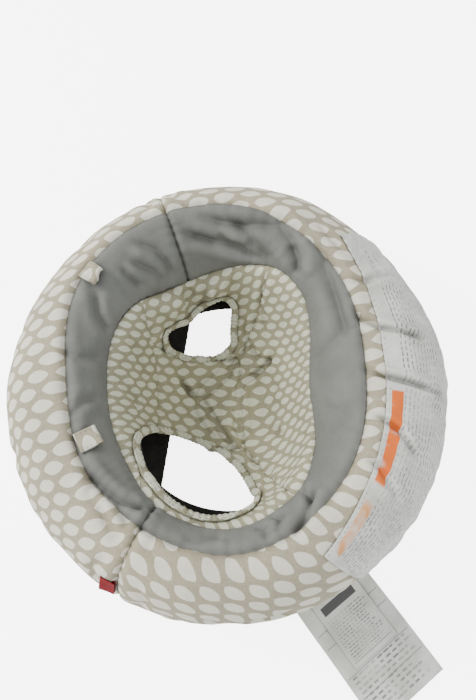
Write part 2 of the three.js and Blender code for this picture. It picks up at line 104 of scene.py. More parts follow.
# Hole radius every 22.5 degrees, from the back by the top and the front to the bottom. Bunched
# cloth hangs over the upper part of the right hole.
LEFT_HOLE = np.array([66, 75, 86, 90, 89, 87, 82, 70, 64, 61, 60, 58, 57, 57, 57, 60]) * MM
RIGHT_HOLE = np.array([42, 52, 54, 36, 27, 28, 50, 47, 38, 34, 32, 32, 35, 38, 41, 38]) * MM
HEM_WIDTH = 9 * MM
HEM_TURNS = 300
HEM_SECTION = 22
HEM_STITCH_HEIGHT = 2.9 * MM
# Where a ray or punch along a leg starts.
PUNCH_START = -12 * MM
# How far the ring is pressed in where the left leg passes it.
LEG_SQUEEZE = 24 * MM


# ---------------------------------------------------------------- shape of the ring
def periodic(values, around):
    """Smooth value at an angle round the ring, through values given at equal steps."""
    values = np.asarray(values, float)
    count = len(values)
    place = np.mod(around, 360.0) / (360.0 / count)
    index = np.floor(place).astype(int)
    t = place - index
    p0, p1, p2, p3 = (values[(index + k) % count] for k in (-1, 0, 1, 2))
    square = 2 * p0 - 5 * p1 + 4 * p2 - p3
    cube = 3 * p1 - p0 - 3 * p2 + p3
    return 0.5 * (2 * p1 + (p2 - p0) * t + square * t**2 + cube * t**3)


def tube_wall(around, over, offset=0.0):
    half = periodic(TUBE_WIDTHS, around) / 2
    cos, sin = np.cos(over * DEGREE), np.sin(over * DEGREE)
    out, up = cos / half, sin / TUBE_HALF_HEIGHT
    length = np.hypot(out, up)
    radius = RING_RADIUS - half + half * cos + out / length * offset
    height = TUBE_MIDDLE + TUBE_HALF_HEIGHT * sin + up / length * offset
    return radius, height


def in_space(around, radius, height):
    angle = np.asarray(around) * DEGREE
    parts = np.broadcast_arrays(radius * np.sin(angle), -radius * np.cos(angle), height)
    return np.stack(parts, -1)


def on_tube(around, over, offset=0.0):
    around, over = np.broadcast_arrays(np.asarray(around, float), np.asarray(over, float))
    return in_space(around, *tube_wall(around, over, offset))


def foot_angle(height):
    return math.asin((height - TUBE_MIDDLE) / TUBE_HALF_HEIGHT) / DEGREE


def seam_distance(around, over, seam):
    """Signed distance over the tube from a seam."""
    half = periodic(TUBE_WIDTHS, around) / 2
    metric = np.hypot(half * np.sin(over * DEGREE), TUBE_HALF_HEIGHT * np.cos(over * DEGREE))
    return (over - seam) * DEGREE * metric


# ---------------------------------------------------------------- relief
def value_noise(points, cell, seed):
    """Smooth noise from -1 to 1 with a given cell size, the same on every run."""
    place = np.asarray(points) / cell
    base = np.floor(place)
    t = place - base
    t = t * t * (3 - 2 * t)
    total = 0.0
    for corner in range(8):
        step = np.array([corner & 1, corner >> 1 & 1, corner >> 2 & 1])
        node = base + step
        mixed = node @ np.array([127.1, 311.7, 74.7]) + seed * 17.3
        value = np.mod(np.sin(mixed) * 43758.5453, 1.0) * 2 - 1
        weight = np.prod(np.where(step == 1, t, 1 - t), axis=-1)
        total = total + value * weight
    return total


def distance_to_line(points, line):
    """Distance to a broken line, and the share of its length at the nearest place."""
    line = np.asarray(line, float)
    lengths = np.linalg.norm(np.diff(line, axis=0), axis=1)
    starts = np.concatenate([[0], np.cumsum(lengths)])
    best = np.full(points.shape[:-1], 9.0)
    share = np.zeros(points.shape[:-1])
    for k, length in enumerate(lengths):
        along = (line[k + 1] - line[k]) / length
        t = np.clip((points - line[k]) @ along, 0, length)
        gap = np.linalg.norm(points - line[k] - t[..., None] * along, axis=-1)
        nearer = gap < best
        best = np.where(nearer, gap, best)
        share = np.where(nearer, (starts[k] + t) / starts[-1], share)
    return best, share


def crease(points, line, depth, width):
    """A fold along a line: a valley between two soft lips, fading at its ends."""
    gap, share = distance_to_line(points, line)
    fade = np.clip(np.minimum(share, 1 - share) * 5 + 0.1, 0, 1)
    valley = np.exp(-((gap / width) ** 2))
    lips = 0.55 * np.exp(-(((gap - 2 * width) / (1.3 * width)) ** 2))
    return depth * fade * (lips - valley)


def bump_at(value, middle, spread):
    return np.exp(-(((value - middle) / spread) ** 2))


# ---------------------------------------------------------------- meshes
def mesh_object(name, verts, faces, coords=None, material=None, smooth=True):
    mesh = bpy.data.meshes.new(name)
    mesh.from_pydata([tuple(v) for v in verts], [], [tuple(int(i) for i in f) for f in faces])
    if coords is not None:
        layer = mesh.uv_layers.new(name="UVMap")
        corners = np.empty(len(mesh.loops), dtype=np.int32)
        mesh.loops.foreach_get("vertex_index", corners)
        layer.data.foreach_set("uv", np.asarray(coords, float)[corners].astype(np.float32).ravel())
    mesh.polygons.foreach_set("use_smooth", [smooth] * len(mesh.polygons))
    mesh.update()
    obj = bpy.data.objects.new(name, mesh)
    bpy.context.scene.collection.objects.link(obj)
    if material:
        mesh.materials.append(material)
    return obj


def grid_faces(rows, columns, wraps=False):
    index = np.arange(rows * columns).reshape(rows, columns)
    if wraps:
        index = np.hstack([index, index[:, :1]])
    corners = index[:-1, :-1], index[:-1, 1:], index[1:, 1:], index[1:, :-1]
    return np.stack(corners, -1).reshape(-1, 4)


def cloth(name, points, coords, material, wraps=False, thickness=1.2 * MM, inward=True):
    """A sheet from rows of points. Its thickness grows away from its shown face."""
    rows, columns = points.shape[:2]
    faces = grid_faces(rows, columns, wraps)
    if not inward:
        faces = faces[:, ::-1]
    obj = mesh_object(name, points.reshape(-1, 3), faces, coords.reshape(-1, 2), material)
    thicken(obj, thickness)
    return obj


def thicken(obj, thickness):
    solid = obj.modifiers.new("thickness", "SOLIDIFY")
    solid.thickness = thickness
    solid.offset = -1
    solid.use_even_offset = False
    solid.use_quality_normals = True


def tube_faces(count, section):
    """Faces of closed loops of points joined one to the next, and round to the first."""
    index = np.arange(count * section).reshape(count, section)
    index = np.vstack([index, index[:1]])
    index = np.hstack([index, index[:, :1]])
    corners = index[:-1, :-1], index[:-1, 1:], index[1:, 1:], index[1:, :-1]
    return np.stack(corners, -1).reshape(-1, 4)


def tube_mesh(name, loops, coords, material, inward=False):
    faces = tube_faces(*loops.shape[:2])
    if inward:
        faces = faces[:, ::-1]
    return mesh_object(name, loops.reshape(-1, 3), faces, coords.reshape(-1, 2), material)


def stitches(name, pairs, normals, material, radius=0.28 * MM):
    """Short raised stitches, each from one point to another over the cloth."""
    sides, rings = 6, 5
    verts, faces = [], []
    for (start, end), normal in zip(pairs, normals):
        start, end, normal = (np.asarray(v, float) for v in (start, end, normal))
        along = end - start
        length = np.linalg.norm(along)
        along = along / length
        side = np.cross(normal, along)
        side = side / np.linalg.norm(side)
        up = np.cross(along, side)
        first = len(verts)
        for ring in range(rings):
            t = ring / (rings - 1)
            arch = math.sin(math.pi * t)
            middle = start + along * length * t + up * (arch * 0.35 * MM)
            size = radius * (0.35 + 0.65 * arch)
            for k in range(sides):
                turn = 2 * math.pi * k / sides
                verts.append(middle + (side * math.cos(turn) + up * math.sin(turn)) * size)
        for ring in range(rings - 1):
            for k in range(sides):
                a = first + ring * sides + k
                b = first + ring * sides + (k + 1) % sides
                faces.append((a, b, b + sides, a + sides))
        faces.append(tuple(first + k for k in reversed(range(sides))))
        faces.append(tuple(first + (rings - 1) * sides + k for k in range(sides)))
    flat = mesh_object(name, verts, [f for f in faces if len(f) == 4], None, material)
    caps = [f for f in faces if len(f) != 4]
    build = bmesh.new()
    build.from_mesh(flat.data)
    build.verts.ensure_lookup_table()
    for cap in caps:
        build.faces.new([build.verts[i] for i in cap])
    build.to_mesh(flat.data)
    build.free()
    flat.data.polygons.foreach_set("use_smooth", [True] * len(flat.data.polygons))
    return flat


def stitch_row(route, normals, stitch=2.6 * MM, gap=1.3 * MM, closed=False):
    """Cuts a route into stitches of equal length. Gives their ends and their normals."""
    route = np.asarray(route, float)
    normals = np.asarray(normals, float)
    if closed:
        route = np.vstack([route, route[:1]])
        normals = np.vstack([normals, normals[:1]])
    lengths = np.concatenate([[0], np.cumsum(np.linalg.norm(np.diff(route, axis=0), axis=1))])
    count = int(lengths[-1] / (stitch + gap))
    pitch = lengths[-1] / max(count, 1)

    def at(values, place):
        return np.array([np.interp(place, lengths, values[:, k]) for k in range(3)])

    pairs = []
    ups = []
    for k in range(count):
        start = (k + 0.5) * pitch - stitch / 2
        pairs.append((at(route, start), at(route, start + stitch)))
        ups.append(at(normals, start + stitch / 2))
    return pairs, ups


# ---------------------------------------------------------------- node helpers
class Nodes:
    """Builds one material's nodes."""

    def __init__(self, name):
        self.material = bpy.data.materials.new(name)
        self.material.use_nodes = True
        self.tree = self.material.node_tree
        self.shader = next(n for n in self.tree.nodes if n.type == "BSDF_PRINCIPLED")

    def add(self, kind, **settings):
        node = self.tree.nodes.new(kind)
        for key, value in settings.items():
            setattr(node, key, value)
        return node

    def link(self, source, target):
        self.tree.links.new(source, target)

    def put(self, value, socket):
        if isinstance(value, bpy.types.NodeSocket):
            self.link(value, socket)
        else:
            socket.default_value = value

    def math(self, operation, a, b=0.0, clamp=False):
        node = self.add("ShaderNodeMath", operation=operation, use_clamp=clamp)
        self.put(a, node.inputs[0])
        self.put(b, node.inputs[1])
        return node.outputs[0]

    def ramp(self, value, low, high, start=0.0, end=1.0):
        node = self.add("ShaderNodeMapRange", interpolation_type="SMOOTHSTEP")
        self.put(value, node.inputs["Value"])
        for key, number in (("From Min", low), ("From Max", high), ("To Min", start), ("To Max", end)):
            node.inputs[key].default_value = number
        return node.outputs["Result"]

    def mix(self, share, a, b, blend="MIX"):
        node = self.add("ShaderNodeMix", data_type="RGBA", blend_type=blend)
        self.put(share, node.inputs["Factor"])
        sockets = [s for s in node.inputs if s.type == "RGBA"]
        self.put(a, sockets[0])
        self.put(b, sockets[1])
        return next(s for s in node.outputs if s.type == "RGBA")

    def coords(self, kind="UV"):
        return self.add("ShaderNodeTexCoord").outputs[kind]

    def split(self, vector):
        node = self.add("ShaderNodeSeparateXYZ")
        self.link(vector, node.inputs[0])
        return node.outputs

    def join(self, x, y, z=0.0):
        node = self.add("ShaderNodeCombineXYZ")
        for value, socket in zip((x, y, z), node.inputs):
            self.put(value, socket)
        return node.outputs[0]

    def noise(self, vector, scale, detail=3.0, rough=0.55):
        node = self.add("ShaderNodeTexNoise")
        self.link(vector, node.inputs["Vector"])
        node.inputs["Scale"].default_value = scale
        node.inputs["Detail"].default_value = detail
        node.inputs["Roughness"].default_value = rough
        return node.outputs["Fac"]

    def white(self, x, y):
        node = self.add("ShaderNodeTexWhiteNoise", noise_dimensions="2D")
        self.link(self.join(x, y), node.inputs["Vector"])
        return node.outputs["Value"]

    def bump(self, height, distance, strength=1.0, before=None):
        node = self.add("ShaderNodeBump")
        node.inputs["Distance"].default_value = distance
        node.inputs["Strength"].default_value = strength
        self.link(height, node.inputs["Height"])
        if before:
            self.link(before, node.inputs["Normal"])
        return node.outputs["Normal"]

    def close_shade(self, colour):
        """Painted shade: the colour darkened by ambient occlusion in creases and along seams."""
        near = self.add("ShaderNodeAmbientOcclusion")
        near.samples = 8
        near.inputs["Distance"].default_value = 14 * MM
        shade = self.ramp(near.outputs["AO"], 0.35, 1.0, 0.42, 1.0)
        tone = self.join(shade, shade, shade)
        return self.mix(1.0, colour, tone, blend="MULTIPLY")

    def finish(self, colour, normal=None, roughness=0.9, sheen=0.0, sheen_tint=(1, 1, 1), specular=0.3):
        # Cloth with a bump gets painted shade in its creases and along its seams.
        if normal:
            colour = self.close_shade(colour)
        self.put(colour, self.shader.inputs["Base Color"])
        self.put(roughness, self.shader.inputs["Roughness"])
        self.shader.inputs["Sheen Weight"].default_value = sheen
        self.shader.inputs["Sheen Tint"].default_value = (*sheen_tint, 1)
        self.shader.inputs["Sheen Roughness"].default_value = 0.5
        self.shader.inputs["Specular IOR Level"].default_value = specular
        if normal:
            self.link(normal, self.shader.inputs["Normal"])
        return self.material

    def weave(self, thread):
        """Height of a plain weave with threads of one width, from the sheet's own coordinates."""
        along, across, _ = self.split(self.coords())
        first = self.math("SINE", self.math("MULTIPLY", along, math.pi / thread))
        second = self.math("SINE", self.math("MULTIPLY", across, math.pi / thread))
        return self.math("MULTIPLY", first, second)


def rgba(colour):
    return (*colour, 1.0)


def settings():
    return bpy.context.scene.support_seat


def printed_cotton(name="printed_cotton_cloth", tint=(1.0, 1.0, 1.0), scale=1.0):
    """Taupe cotton with rows of off-white leaf shapes, half a step apart from row to row."""
    known = bpy.data.materials.get(name)
    if known:
        return known
    look = settings()
    n = Nodes(name)
    wobble = n.add("ShaderNodeTexNoise")
    n.link(n.coords(), wobble.inputs["Vector"])
    wobble.inputs["Scale"].default_value = 120
    wobble.inputs["Detail"].default_value = 1.5
    shift = n.split(wobble.outputs["Color"])
    across, along, _ = n.split(n.coords())
    across = n.math("ADD", across, n.math("MULTIPLY", n.math("SUBTRACT", shift[0], 0.5), 1.6 * MM))
    along = n.math("ADD", along, n.math("MULTIPLY", n.math("SUBTRACT", shift[1], 0.5), 1.6 * MM))
    row_place = n.math("DIVIDE", across, look.row_pitch)
    row = n.math("ROUND", row_place)
    off_row = n.math("ABSOLUTE", n.math("MULTIPLY", n.math("SUBTRACT", row_place, row), look.row_pitch))
    half_step = n.math("MULTIPLY", n.math("ABSOLUTE", n.math("MODULO", row, 2.0)), 0.5)
    place = n.math("ADD", n.math("DIVIDE", along, look.leaf_pitch), half_step)
    off_leaf = n.math("SUBTRACT", place, n.math("ROUND", place))
    reach = n.math("DIVIDE", n.math("MULTIPLY", off_leaf, look.leaf_pitch), look.leaf_length / 2)
    inside = n.math("MAXIMUM", n.math("SUBTRACT", 1.0, n.math("MULTIPLY", reach, reach)), 0.0)
    edge = n.math("MULTIPLY", n.math("POWER", inside, 0.72), look.leaf_width / 2)
    low, high = (0.9 - 0.9 * scale - 0.35) * MM, (0.9 - 0.9 * scale + 0.45) * MM
    leaf = n.ramp(n.math("SUBTRACT", edge, off_row), low, high)
    space = n.coords("Object")
    patch = n.noise(space, 14, 2.0)
    fine = n.noise(space, 420, 2.0)
    ground = n.mix(n.ramp(patch, 0.3, 0.7), rgba(look.ground_colour), rgba(look.ground_shade))
    ground = n.mix(n.math("MULTIPLY", fine, 0.35), ground, rgba(look.leaf_colour))
    white = n.mix(n.ramp(patch, 0.35, 0.75, 0.0, 0.55), rgba(look.leaf_colour), rgba(look.leaf_shade))
    white = n.mix(n.ramp(fine, 0.5, 0.9, 0.0, 0.28), white, rgba(look.ground_colour))
    colour = n.mix(leaf, ground, white)
    threads = n.weave(0.42 * MM)
    colour = n.mix(n.ramp(threads, -1.0, 1.0, 0.10, 0.0), colour, rgba(look.ground_shade))
    # A tint multiplies the whole print; the seat's tint is painted shade.
    if tint != (1.0, 1.0, 1.0):
        colour = n.mix(1.0, colour, rgba(tint), blend="MULTIPLY")
    normal = n.bump(threads, 0.10 * MM, 0.45)
    normal = n.bump(n.noise(space, 160, 3.0), 0.5 * MM, 0.35, normal)
    normal = n.bump(leaf, 0.06 * MM, 0.35, normal)
    rough = n.ramp(leaf, 0.0, 1.0, 0.88, 0.76)
    return n.finish(colour, normal, rough, sheen=0.04, specular=0.2)


def seat_cotton():
    """The same print inside the seat, tinted darker and greener as painted shade of the seat's hollow."""
    return printed_cotton("printed_cotton_seat", (0.93, 0.975, 0.93), 0.4)


def grey_plush():
    """Short brushed grey pile, with soft patches where the pile lies another way."""
    known = bpy.data.materials.get("grey_plush_cloth")
    if known:
        return known
    look = settings()
    n = Nodes("grey_plush_cloth")
    space = n.coords("Object")
    patch = n.noise(space, 16, 3.0, 0.6)
    streak = n.noise(n.coords(), 70, 2.0)
    pile = n.noise(space, 900, 2.0, 0.7)
    colour = n.mix(n.ramp(patch, 0.32, 0.7), rgba(look.plush_shade), rgba(look.plush_colour))
    colour = n.mix(n.ramp(streak, 0.4, 0.75, 0.0, 0.25), colour, rgba(look.plush_shade))
    colour = n.mix(n.ramp(pile, 0.35, 0.75, 0.0, 0.22), colour, rgba(look.plush_light))
    normal = n.bump(pile, 0.35 * MM, 0.5)
    normal = n.bump(n.noise(space, 210, 3.0), 0.5 * MM, 0.3, normal)
    return n.finish(colour, normal, 0.95, sheen=0.12, sheen_tint=(0.93, 0.94, 0.95), specular=0.1)


def charcoal_mesh():
    """Dark open lining cloth with a fine grid of holes."""
    known = bpy.data.materials.get("charcoal_lining_cloth")
    if known:
        return known
    look = settings()
    n = Nodes("charcoal_lining_cloth")
    threads = n.weave(0.9 * MM)
    patch = n.noise(n.coords("Object"), 25, 3.0)
    colour = n.mix(n.ramp(patch, 0.3, 0.7), rgba(look.lining_colour), rgba(look.lining_light))
    colour = n.mix(n.ramp(threads, -1.0, 0.2, 0.35, 0.0), colour, (0.012, 0.012, 0.012, 1))
    normal = n.bump(threads, 0.25 * MM, 0.7)
    return n.finish(colour, normal, 0.82, sheen=0.05, specular=0.2)


def plain_cloth(name, colour, shade, thread, roughness=0.8, sheen=0.2, lump=0.25):
    """A woven cloth of one colour with a finer second tone in its threads."""
    known = bpy.data.materials.get(name)
    if known:
        return known
    n = Nodes(name)
    space = n.coords("Object")
    threads = n.weave(thread)
    patch = n.noise(space, 45, 3.0)
    mixed = n.mix(n.ramp(patch, 0.3, 0.72), rgba(colour), rgba(shade))
    mixed = n.mix(n.ramp(threads, -1.0, 0.4, 0.3, 0.0), mixed, rgba(shade))
    normal = n.bump(threads, 0.12 * MM, 0.6)
    normal = n.bump(n.noise(space, 260, 3.0), 0.5 * MM, lump, normal)
    return n.finish(mixed, normal, roughness, sheen=sheen)


def thread_material():
    look = settings()
    known = bpy.data.materials.get("sewing_thread")
    if known:
        return known
    n = Nodes("sewing_thread")
    twist = n.noise(n.coords("Object"), 1500, 2.0)
    colour = n.mix(twist, rgba(look.thread_colour), rgba(tuple(c * 0.82 for c in look.thread_colour)))
    return n.finish(colour, n.bump(twist, 0.15 * MM, 0.5), 0.6, sheen=0.3)


def label_paper(name, rows, words, band=None, rules=()):
    """Thin white label cloth with rows of plain grey bars, and a coloured band where one is given.

    rows is (first, last, pitch, height, start, end); the bars run along the first coordinate.
    band is (low, high, left, faded end, vivid end, right), and a rule is (low, high, left, right, tone).
    """
    look = settings()
    n = Nodes(name)
    space = n.coords("Object")
    along, down, _ = n.split(n.coords())
    paper = n.mix(n.ramp(n.noise(space, 30, 3.0), 0.3, 0.72), rgba(look.label_colour), rgba(look.label_shade))
    colour = paper
    first, last, pitch, height, start, end = rows
    place = n.math("DIVIDE", n.math("SUBTRACT", down, first), pitch)
    row = n.math("FLOOR", place)
    in_row = n.math("MULTIPLY", n.math("SUBTRACT", place, row), pitch)
    bar = n.ramp(in_row, height, height + 0.3 * MM, 1.0, 0.0)
    word_place = n.math("DIVIDE", n.math("ADD", along, n.math("MULTIPLY", n.white(row, 3.0), words)), words)
    word = n.math("FLOOR", word_place)
    part = n.math("SUBTRACT", word_place, word)
    chance = n.white(word, row)
    filled = n.math("LESS_THAN", part, n.math("ADD", 0.45, n.math("MULTIPLY", chance, 0.42)))
    begins = n.math("GREATER_THAN", along, start)
    ragged = n.math("MULTIPLY", n.white(row, 9.0), 0.22 * (end - start))
    ends = n.math("LESS_THAN", along, n.math("SUBTRACT", end, ragged))
    below = n.math("GREATER_THAN", down, first)
    above = n.math("LESS_THAN", down, last)
    ink = n.math("MULTIPLY", bar, filled)
    for limit in (begins, ends, below, above):
        ink = n.math("MULTIPLY", ink, limit)
    worn = n.ramp(n.noise(space, 40, 3.0), 0.38, 0.62, 0.35, 0.9)
    colour = n.mix(n.math("MULTIPLY", ink, worn), colour, rgba(look.ink_colour))
    for low, high, left, right, tone in rules:
        inside = n.math("MULTIPLY", n.math("GREATER_THAN", down, low), n.math("LESS_THAN", down, high))
        inside = n.math("MULTIPLY", inside, n.math("GREATER_THAN", along, left))
        inside = n.math("MULTIPLY", inside, n.math("LESS_THAN", along, right))
        colour = n.mix(inside, colour, rgba(tone))
    if band:
        low, high, left, faded_end, vivid_end, right = band
        inside = n.ramp(down, low, low + 0.8 * MM)
        inside = n.math("MULTIPLY", inside, n.ramp(down, high, high + 0.8 * MM, 1.0, 0.0))
        inside = n.math("MULTIPLY", inside, n.ramp(along, left, left + 2 * MM))
        inside = n.math("MULTIPLY", inside, n.ramp(along, right, right + 2 * MM, 1.0, 0.0))
        flaked = n.ramp(n.noise(n.join(along, down), 110, 2.0, 0.5), 0.30, 0.70, 0.30, 0.95)
        old = n.math("MULTIPLY", flaked, n.ramp(along, faded_end - 5 * MM, faded_end, 1.0, 0.0))
        cracks = n.noise(n.join(along, n.math("MULTIPLY", down, 0.4)), 62, 1.0, 0.4)
        fresh = n.ramp(along, vivid_end - 4 * MM, vivid_end)
        sound = n.math("MULTIPLY", n.ramp(cracks, 0.34, 0.46, 0.25, 1.0), fresh)
        strength = n.math("MAXIMUM", sound, old)
        warm = n.mix(n.noise(n.join(along, down), 90, 2.0), rgba(look.band_faded), rgba(look.band_colour))
        worn_tone = n.mix(0.45, rgba(look.band_faded), warm)
        tone = n.mix(fresh, worn_tone, rgba(look.band_colour))
        colour = n.mix(n.math("MULTIPLY", inside, strength), colour, tone)
    crumple = n.noise(space, 95, 4.0, 0.6)
    normal = n.bump(crumple, 1.6 * MM, 0.45)
    normal = n.bump(n.noise(space, 900, 2.0), 0.2 * MM, 0.35, normal)
    return n.finish(colour, normal, 0.62, sheen=0.1, specular=0.35)


# ---------------------------------------------------------------- where the print lies
def print_map(around, distance, turn):
    """Print coordinates on a strip that runs round the ring, with the print turned by an angle
    that changes along the strip. distance is measured outward from the strip's middle line."""
    table = np.arange(-120.0, 481.0, 1.0)
    heading = (table + turn(table)) * DEGREE
    step = MIDDLE_LINE * DEGREE
    right = np.concatenate([[0], np.cumsum((np.cos(heading[1:]) + np.cos(heading[:-1])) / 2 * step)])
    ahead = np.concatenate([[0], np.cumsum((np.sin(heading[1:]) + np.sin(heading[:-1])) / 2 * step)])
    here = np.interp(around, table, heading)
    x = np.interp(around, table, right) + distance * np.sin(here)
    y = np.interp(around, table, ahead) - distance * np.cos(here)
    return np.stack([x, y], -1)


def front_turn(around):
    return np.full_like(around, -12.0)


def back_turn(around):
    places = [61, 65, 85, 100, 110, 120, 130, 200, 215, 225, 240, 250, 270, 285, 300]
    turns = [62, 60, 50, 42, 30, 12, 0, 0, 5, 9, 9, 0, -9, -15, -15]
    return np.interp(around, places, turns)


def cover_print(around, radius, height, turn):
    distance = radius - MIDDLE_LINE + WALL_DROP_SHARE * np.maximum(RING_TOP - height, 0)
    return print_map(around, distance, turn)


# Soft folds in the covers: places as (around, over), then depth and width.
PLUSH_FOLDS = [
    ([(325, 104), (333, 117), (338, 132)], 4.0, 5.0),
    ([(303, 97), (300, 106), (296, 118), (294, 131), (295, 147)], 3.6, 5.0),
    ([(308, 108), (305, 119), (301, 131), (299, 146)], 3.4, 5.0),
    ([(312, 108), (311, 122), (310, 134)], 3.4, 4.5),
    ([(277, 102), (272, 109), (266, 114), (255, 110), (246, 103), (239, 109), (232, 114)], 6.0, 6.5),
    ([(284, 112), (279, 122), (272, 129), (260, 135), (246, 138)], 7.0, 6.5),
    ([(270, 122), (264, 128), (256, 131)], 5.0, 5.0),
    ([(264, 112), (257, 120), (250, 128), (243, 134)], 5.0, 5.5),
    ([(240, 112), (234, 120), (230, 130)], 7.0, 7.0),
    ([(228, 104), (218, 112), (206, 118), (192, 119)], 7.0, 8.0),
    ([(34, 101), (39, 104), (45, 106), (51, 109), (57, 115), (62, 125)], 5.0, 4.5),
    ([(126, 124), (120, 120), (115, 114), (109, 108)], 4.6, 4.4),
    ([(119, 134), (120, 127), (120, 117)], 3.6, 4.4),
    ([(104, 134), (108, 128), (104, 116)], 3.6, 4.5),
    ([(98, 132), (102, 124), (100, 114)], 3.0, 4.5),
    ([(88, 128), (80, 118), (74, 113)], 3.0, 5.0),
    ([(16, 106), (10, 118), (9, 130)], 2.6, 5.0),
    ([(350, 96), (353, 112), (350, 132)], 3.0, 6.0),
    ([(150, 112), (156, 128), (160, 146)], 2.6, 7.0),
    ([(196, 112), (190, 132), (186, 150)], 2.6, 7.0),
]
PRINT_FOLDS = [
    ([(203, 108), (196, 105), (190, 93), (186, 72), (184, 56)], 5.0, 3.2),
    ([(176, 110), (174, 106), (172, 96), (171, 86), (170, 70), (169, 42)], 5.5, 3.2),
    ([(157, 106), (157, 96), (155, 84), (150, 66)], 4.0, 3.0),
    ([(143, 100), (142, 88), (138, 66)], 3.2, 3.4),
    ([(213, 104), (208, 88), (206, 60)], 3.4, 3.6),
    ([(37, 99), (44, 94), (53, 88), (60, 84)], 2.6, 4.5),
    ([(44, 98), (51, 92), (56, 90)], 1.8, 3.5),
    ([(52, 103), (58, 97)], 2.2, 4.0),
    ([(64, 96), (71, 88), (82, 84)], 2.0, 5.0),
    ([(234, 82), (228, 86), (221, 87)], 2.6, 4.0),
    ([(88, 22), (96, 30), (104, 33)], 3.0, 6.0),
    ([(104, 12), (112, 20), (119, 22)], 3.2, 6.0),
    ([(74, 10), (80, 24), (84, 32)], 2.4, 6.0),
    ([(278, 84), (284, 66), (284, 50)], 2.2, 6.0),
    ([(292, 80), (290, 58), (294, 40)], 2.4, 6.0),
    ([(57, 70), (54, 52), (56, 34)], 2.0, 5.0),
    ([(66, 64), (69, 46), (67, 28)], 2.0, 5.0),
    ([(310, 60), (316, 40), (318, 22)], 1.8, 7.0),
    ([(342, 50), (346, 30), (345, 14)], 1.6, 7.0),
    ([(14, 56), (18, 34), (16, 16)], 1.8, 7.0),
    ([(36, 50), (34, 30), (38, 10)], 1.6, 7.0),
]


def cover_relief(around, over):
    """How far the stuffed covers stand off the tube's plain wall."""
    look = settings()
    around, over = np.broadcast_arrays(around, over)
    points = on_tube(around, over)
    relief = look.lumps * (
        2.6 * value_noise(points, 85 * MM, 1)
        + 1.1 * value_noise(points, 42 * MM, 2)
        + 0.3 * value_noise(points, 17 * MM, 3)
    )
    run = around * DEGREE * MIDDLE_LINE
    print_gap = seam_distance(around, over, periodic(PRINT_SEAM, around)) / MM
    seat_gap = seam_distance(around, over, periodic(SEAT_SEAM, around)) / MM
    relief = relief - 3.6 * bump_at(print_gap, 0, 4.0) + 1.0 * bump_at(np.abs(print_gap), 10, 6)
    relief = relief - 2.2 * bump_at(seat_gap, 0, 7.0)
    for seam in (LEFT_CROSS_SEAM, RIGHT_CROSS_SEAM):
        gap = (np.mod(around - seam + 180, 360) - 180) * DEGREE * RING_RADIUS * 0.85 / MM
        relief = relief - 3.4 * bump_at(gap, 0, 3.2) + 0.8 * bump_at(np.abs(gap), 9, 6)
        ripple = np.sin(over * 0.75 + 3 * value_noise(points, 30 * MM, 5))
        relief = relief + look.pucker * 0.9 * ripple * np.exp(-np.abs(gap) / 9)
    drift = 4 * value_noise(np.stack([run, run * 0, run * 0], -1), 55 * MM, 4)
    uneven = 0.75 + 0.6 * value_noise(points, 35 * MM, 6)
    ripple = np.sin(run / (14 * MM) * 2 * math.pi + drift) * uneven
    relief = relief + look.pucker * 0.5 * ripple * np.exp(-np.abs(print_gap) / 11)
    relief = relief + look.pucker * 0.3 * ripple * np.exp(-np.abs(seat_gap) / 10)
    free = np.clip(np.abs(seat_gap) / 9, 0.2, 1)
    for route, depth, width in PLUSH_FOLDS + PRINT_FOLDS:
        places = np.array(route, float)
        line = on_tube(places[:, 0], places[:, 1])
        relief = relief + free * crease(points, line, depth, width * MM)
    # Room for the floor labels when they are lifted against the wall.
    relief = relief - 6 * bump_at(around, 117, 13) * bump_at(over, -22, 26)
    foot = np.clip((over - foot_angle(COVER_FOOT_HEIGHT)) / 18, 0, 1)
    return relief * np.where(over < 90, foot, 1) * MM


def leg_squeeze(around, over):
    """How far the ring's inner wall is pressed in where the left leg passes it."""
    on_wall = np.clip((over - 132) / 26, 0, 1) * np.clip((300 - over) / 60, 0, 1)
    return LEG_SQUEEZE * bump_at(around, 66, 34) * on_wall


def ring_cover(name, start, end, low, high, rows, material, turn):
    columns = int((end - start) / COVER_STEP) + 1
    around = np.linspace(start, end, columns)[None, :]
    share = np.linspace(0, 1, rows)[:, None]
    over = low(around) + (high(around) - low(around)) * share
    around = np.broadcast_to(around, over.shape)
    radius, height = tube_wall(around, over, cover_relief(around, over))
    plain_radius, plain_height = tube_wall(around, over)
    points = in_space(around, radius, np.maximum(height, COVER_FOOT_HEIGHT))
    coords = cover_print(around, plain_radius, plain_height, turn)
    return cloth(name, points, coords, material, inward=False)


# ---------------------------------------------------------------- the sling's shape
def sling_profiles(columns):
    """Lower face of the sling as rows from its seam to the middle of the floor."""
    radii, heights = [], []
    for around in columns:
        seam = float(periodic(SEAT_SEAM, around))
        leave = max(SLING_LEAVE, seam + 1)
        wall = tube_wall(around, np.linspace(seam, leave, 12), SLING_OFF_WALL)
        start = np.array([wall[0][-1], wall[1][-1]])
        half = float(periodic(TUBE_WIDTHS, around)) / 2
        tangent = np.array([-half * math.sin(leave * DEGREE), TUBE_HALF_HEIGHT * math.cos(leave * DEGREE)])
        belly = start + tangent * (SLING_BELLY_HEIGHT - start[1]) / tangent[1]
        landing = np.array([SLING_FLOOR_RADIUS, 0])
        t = np.linspace(0, 1, 60)[1:, None]
        swing = (1 - t) ** 2 * start + 2 * t * (1 - t) * belly + t**2 * landing
        radius = np.concatenate([wall[0], swing[:, 0], [SLING_FLOOR_RADIUS / 2, 0]])
        height = np.concatenate([wall[1], swing[:, 1], [0, 0]])
        lengths = np.concatenate([[0], np.cumsum(np.hypot(np.diff(radius), np.diff(height)))])
        places = np.linspace(0, lengths[-1], SLING_ROWS)
        radii.append(np.interp(places, lengths, radius))
        heights.append(np.interp(places, lengths, height))
    return np.array(radii).T, np.array(heights).T


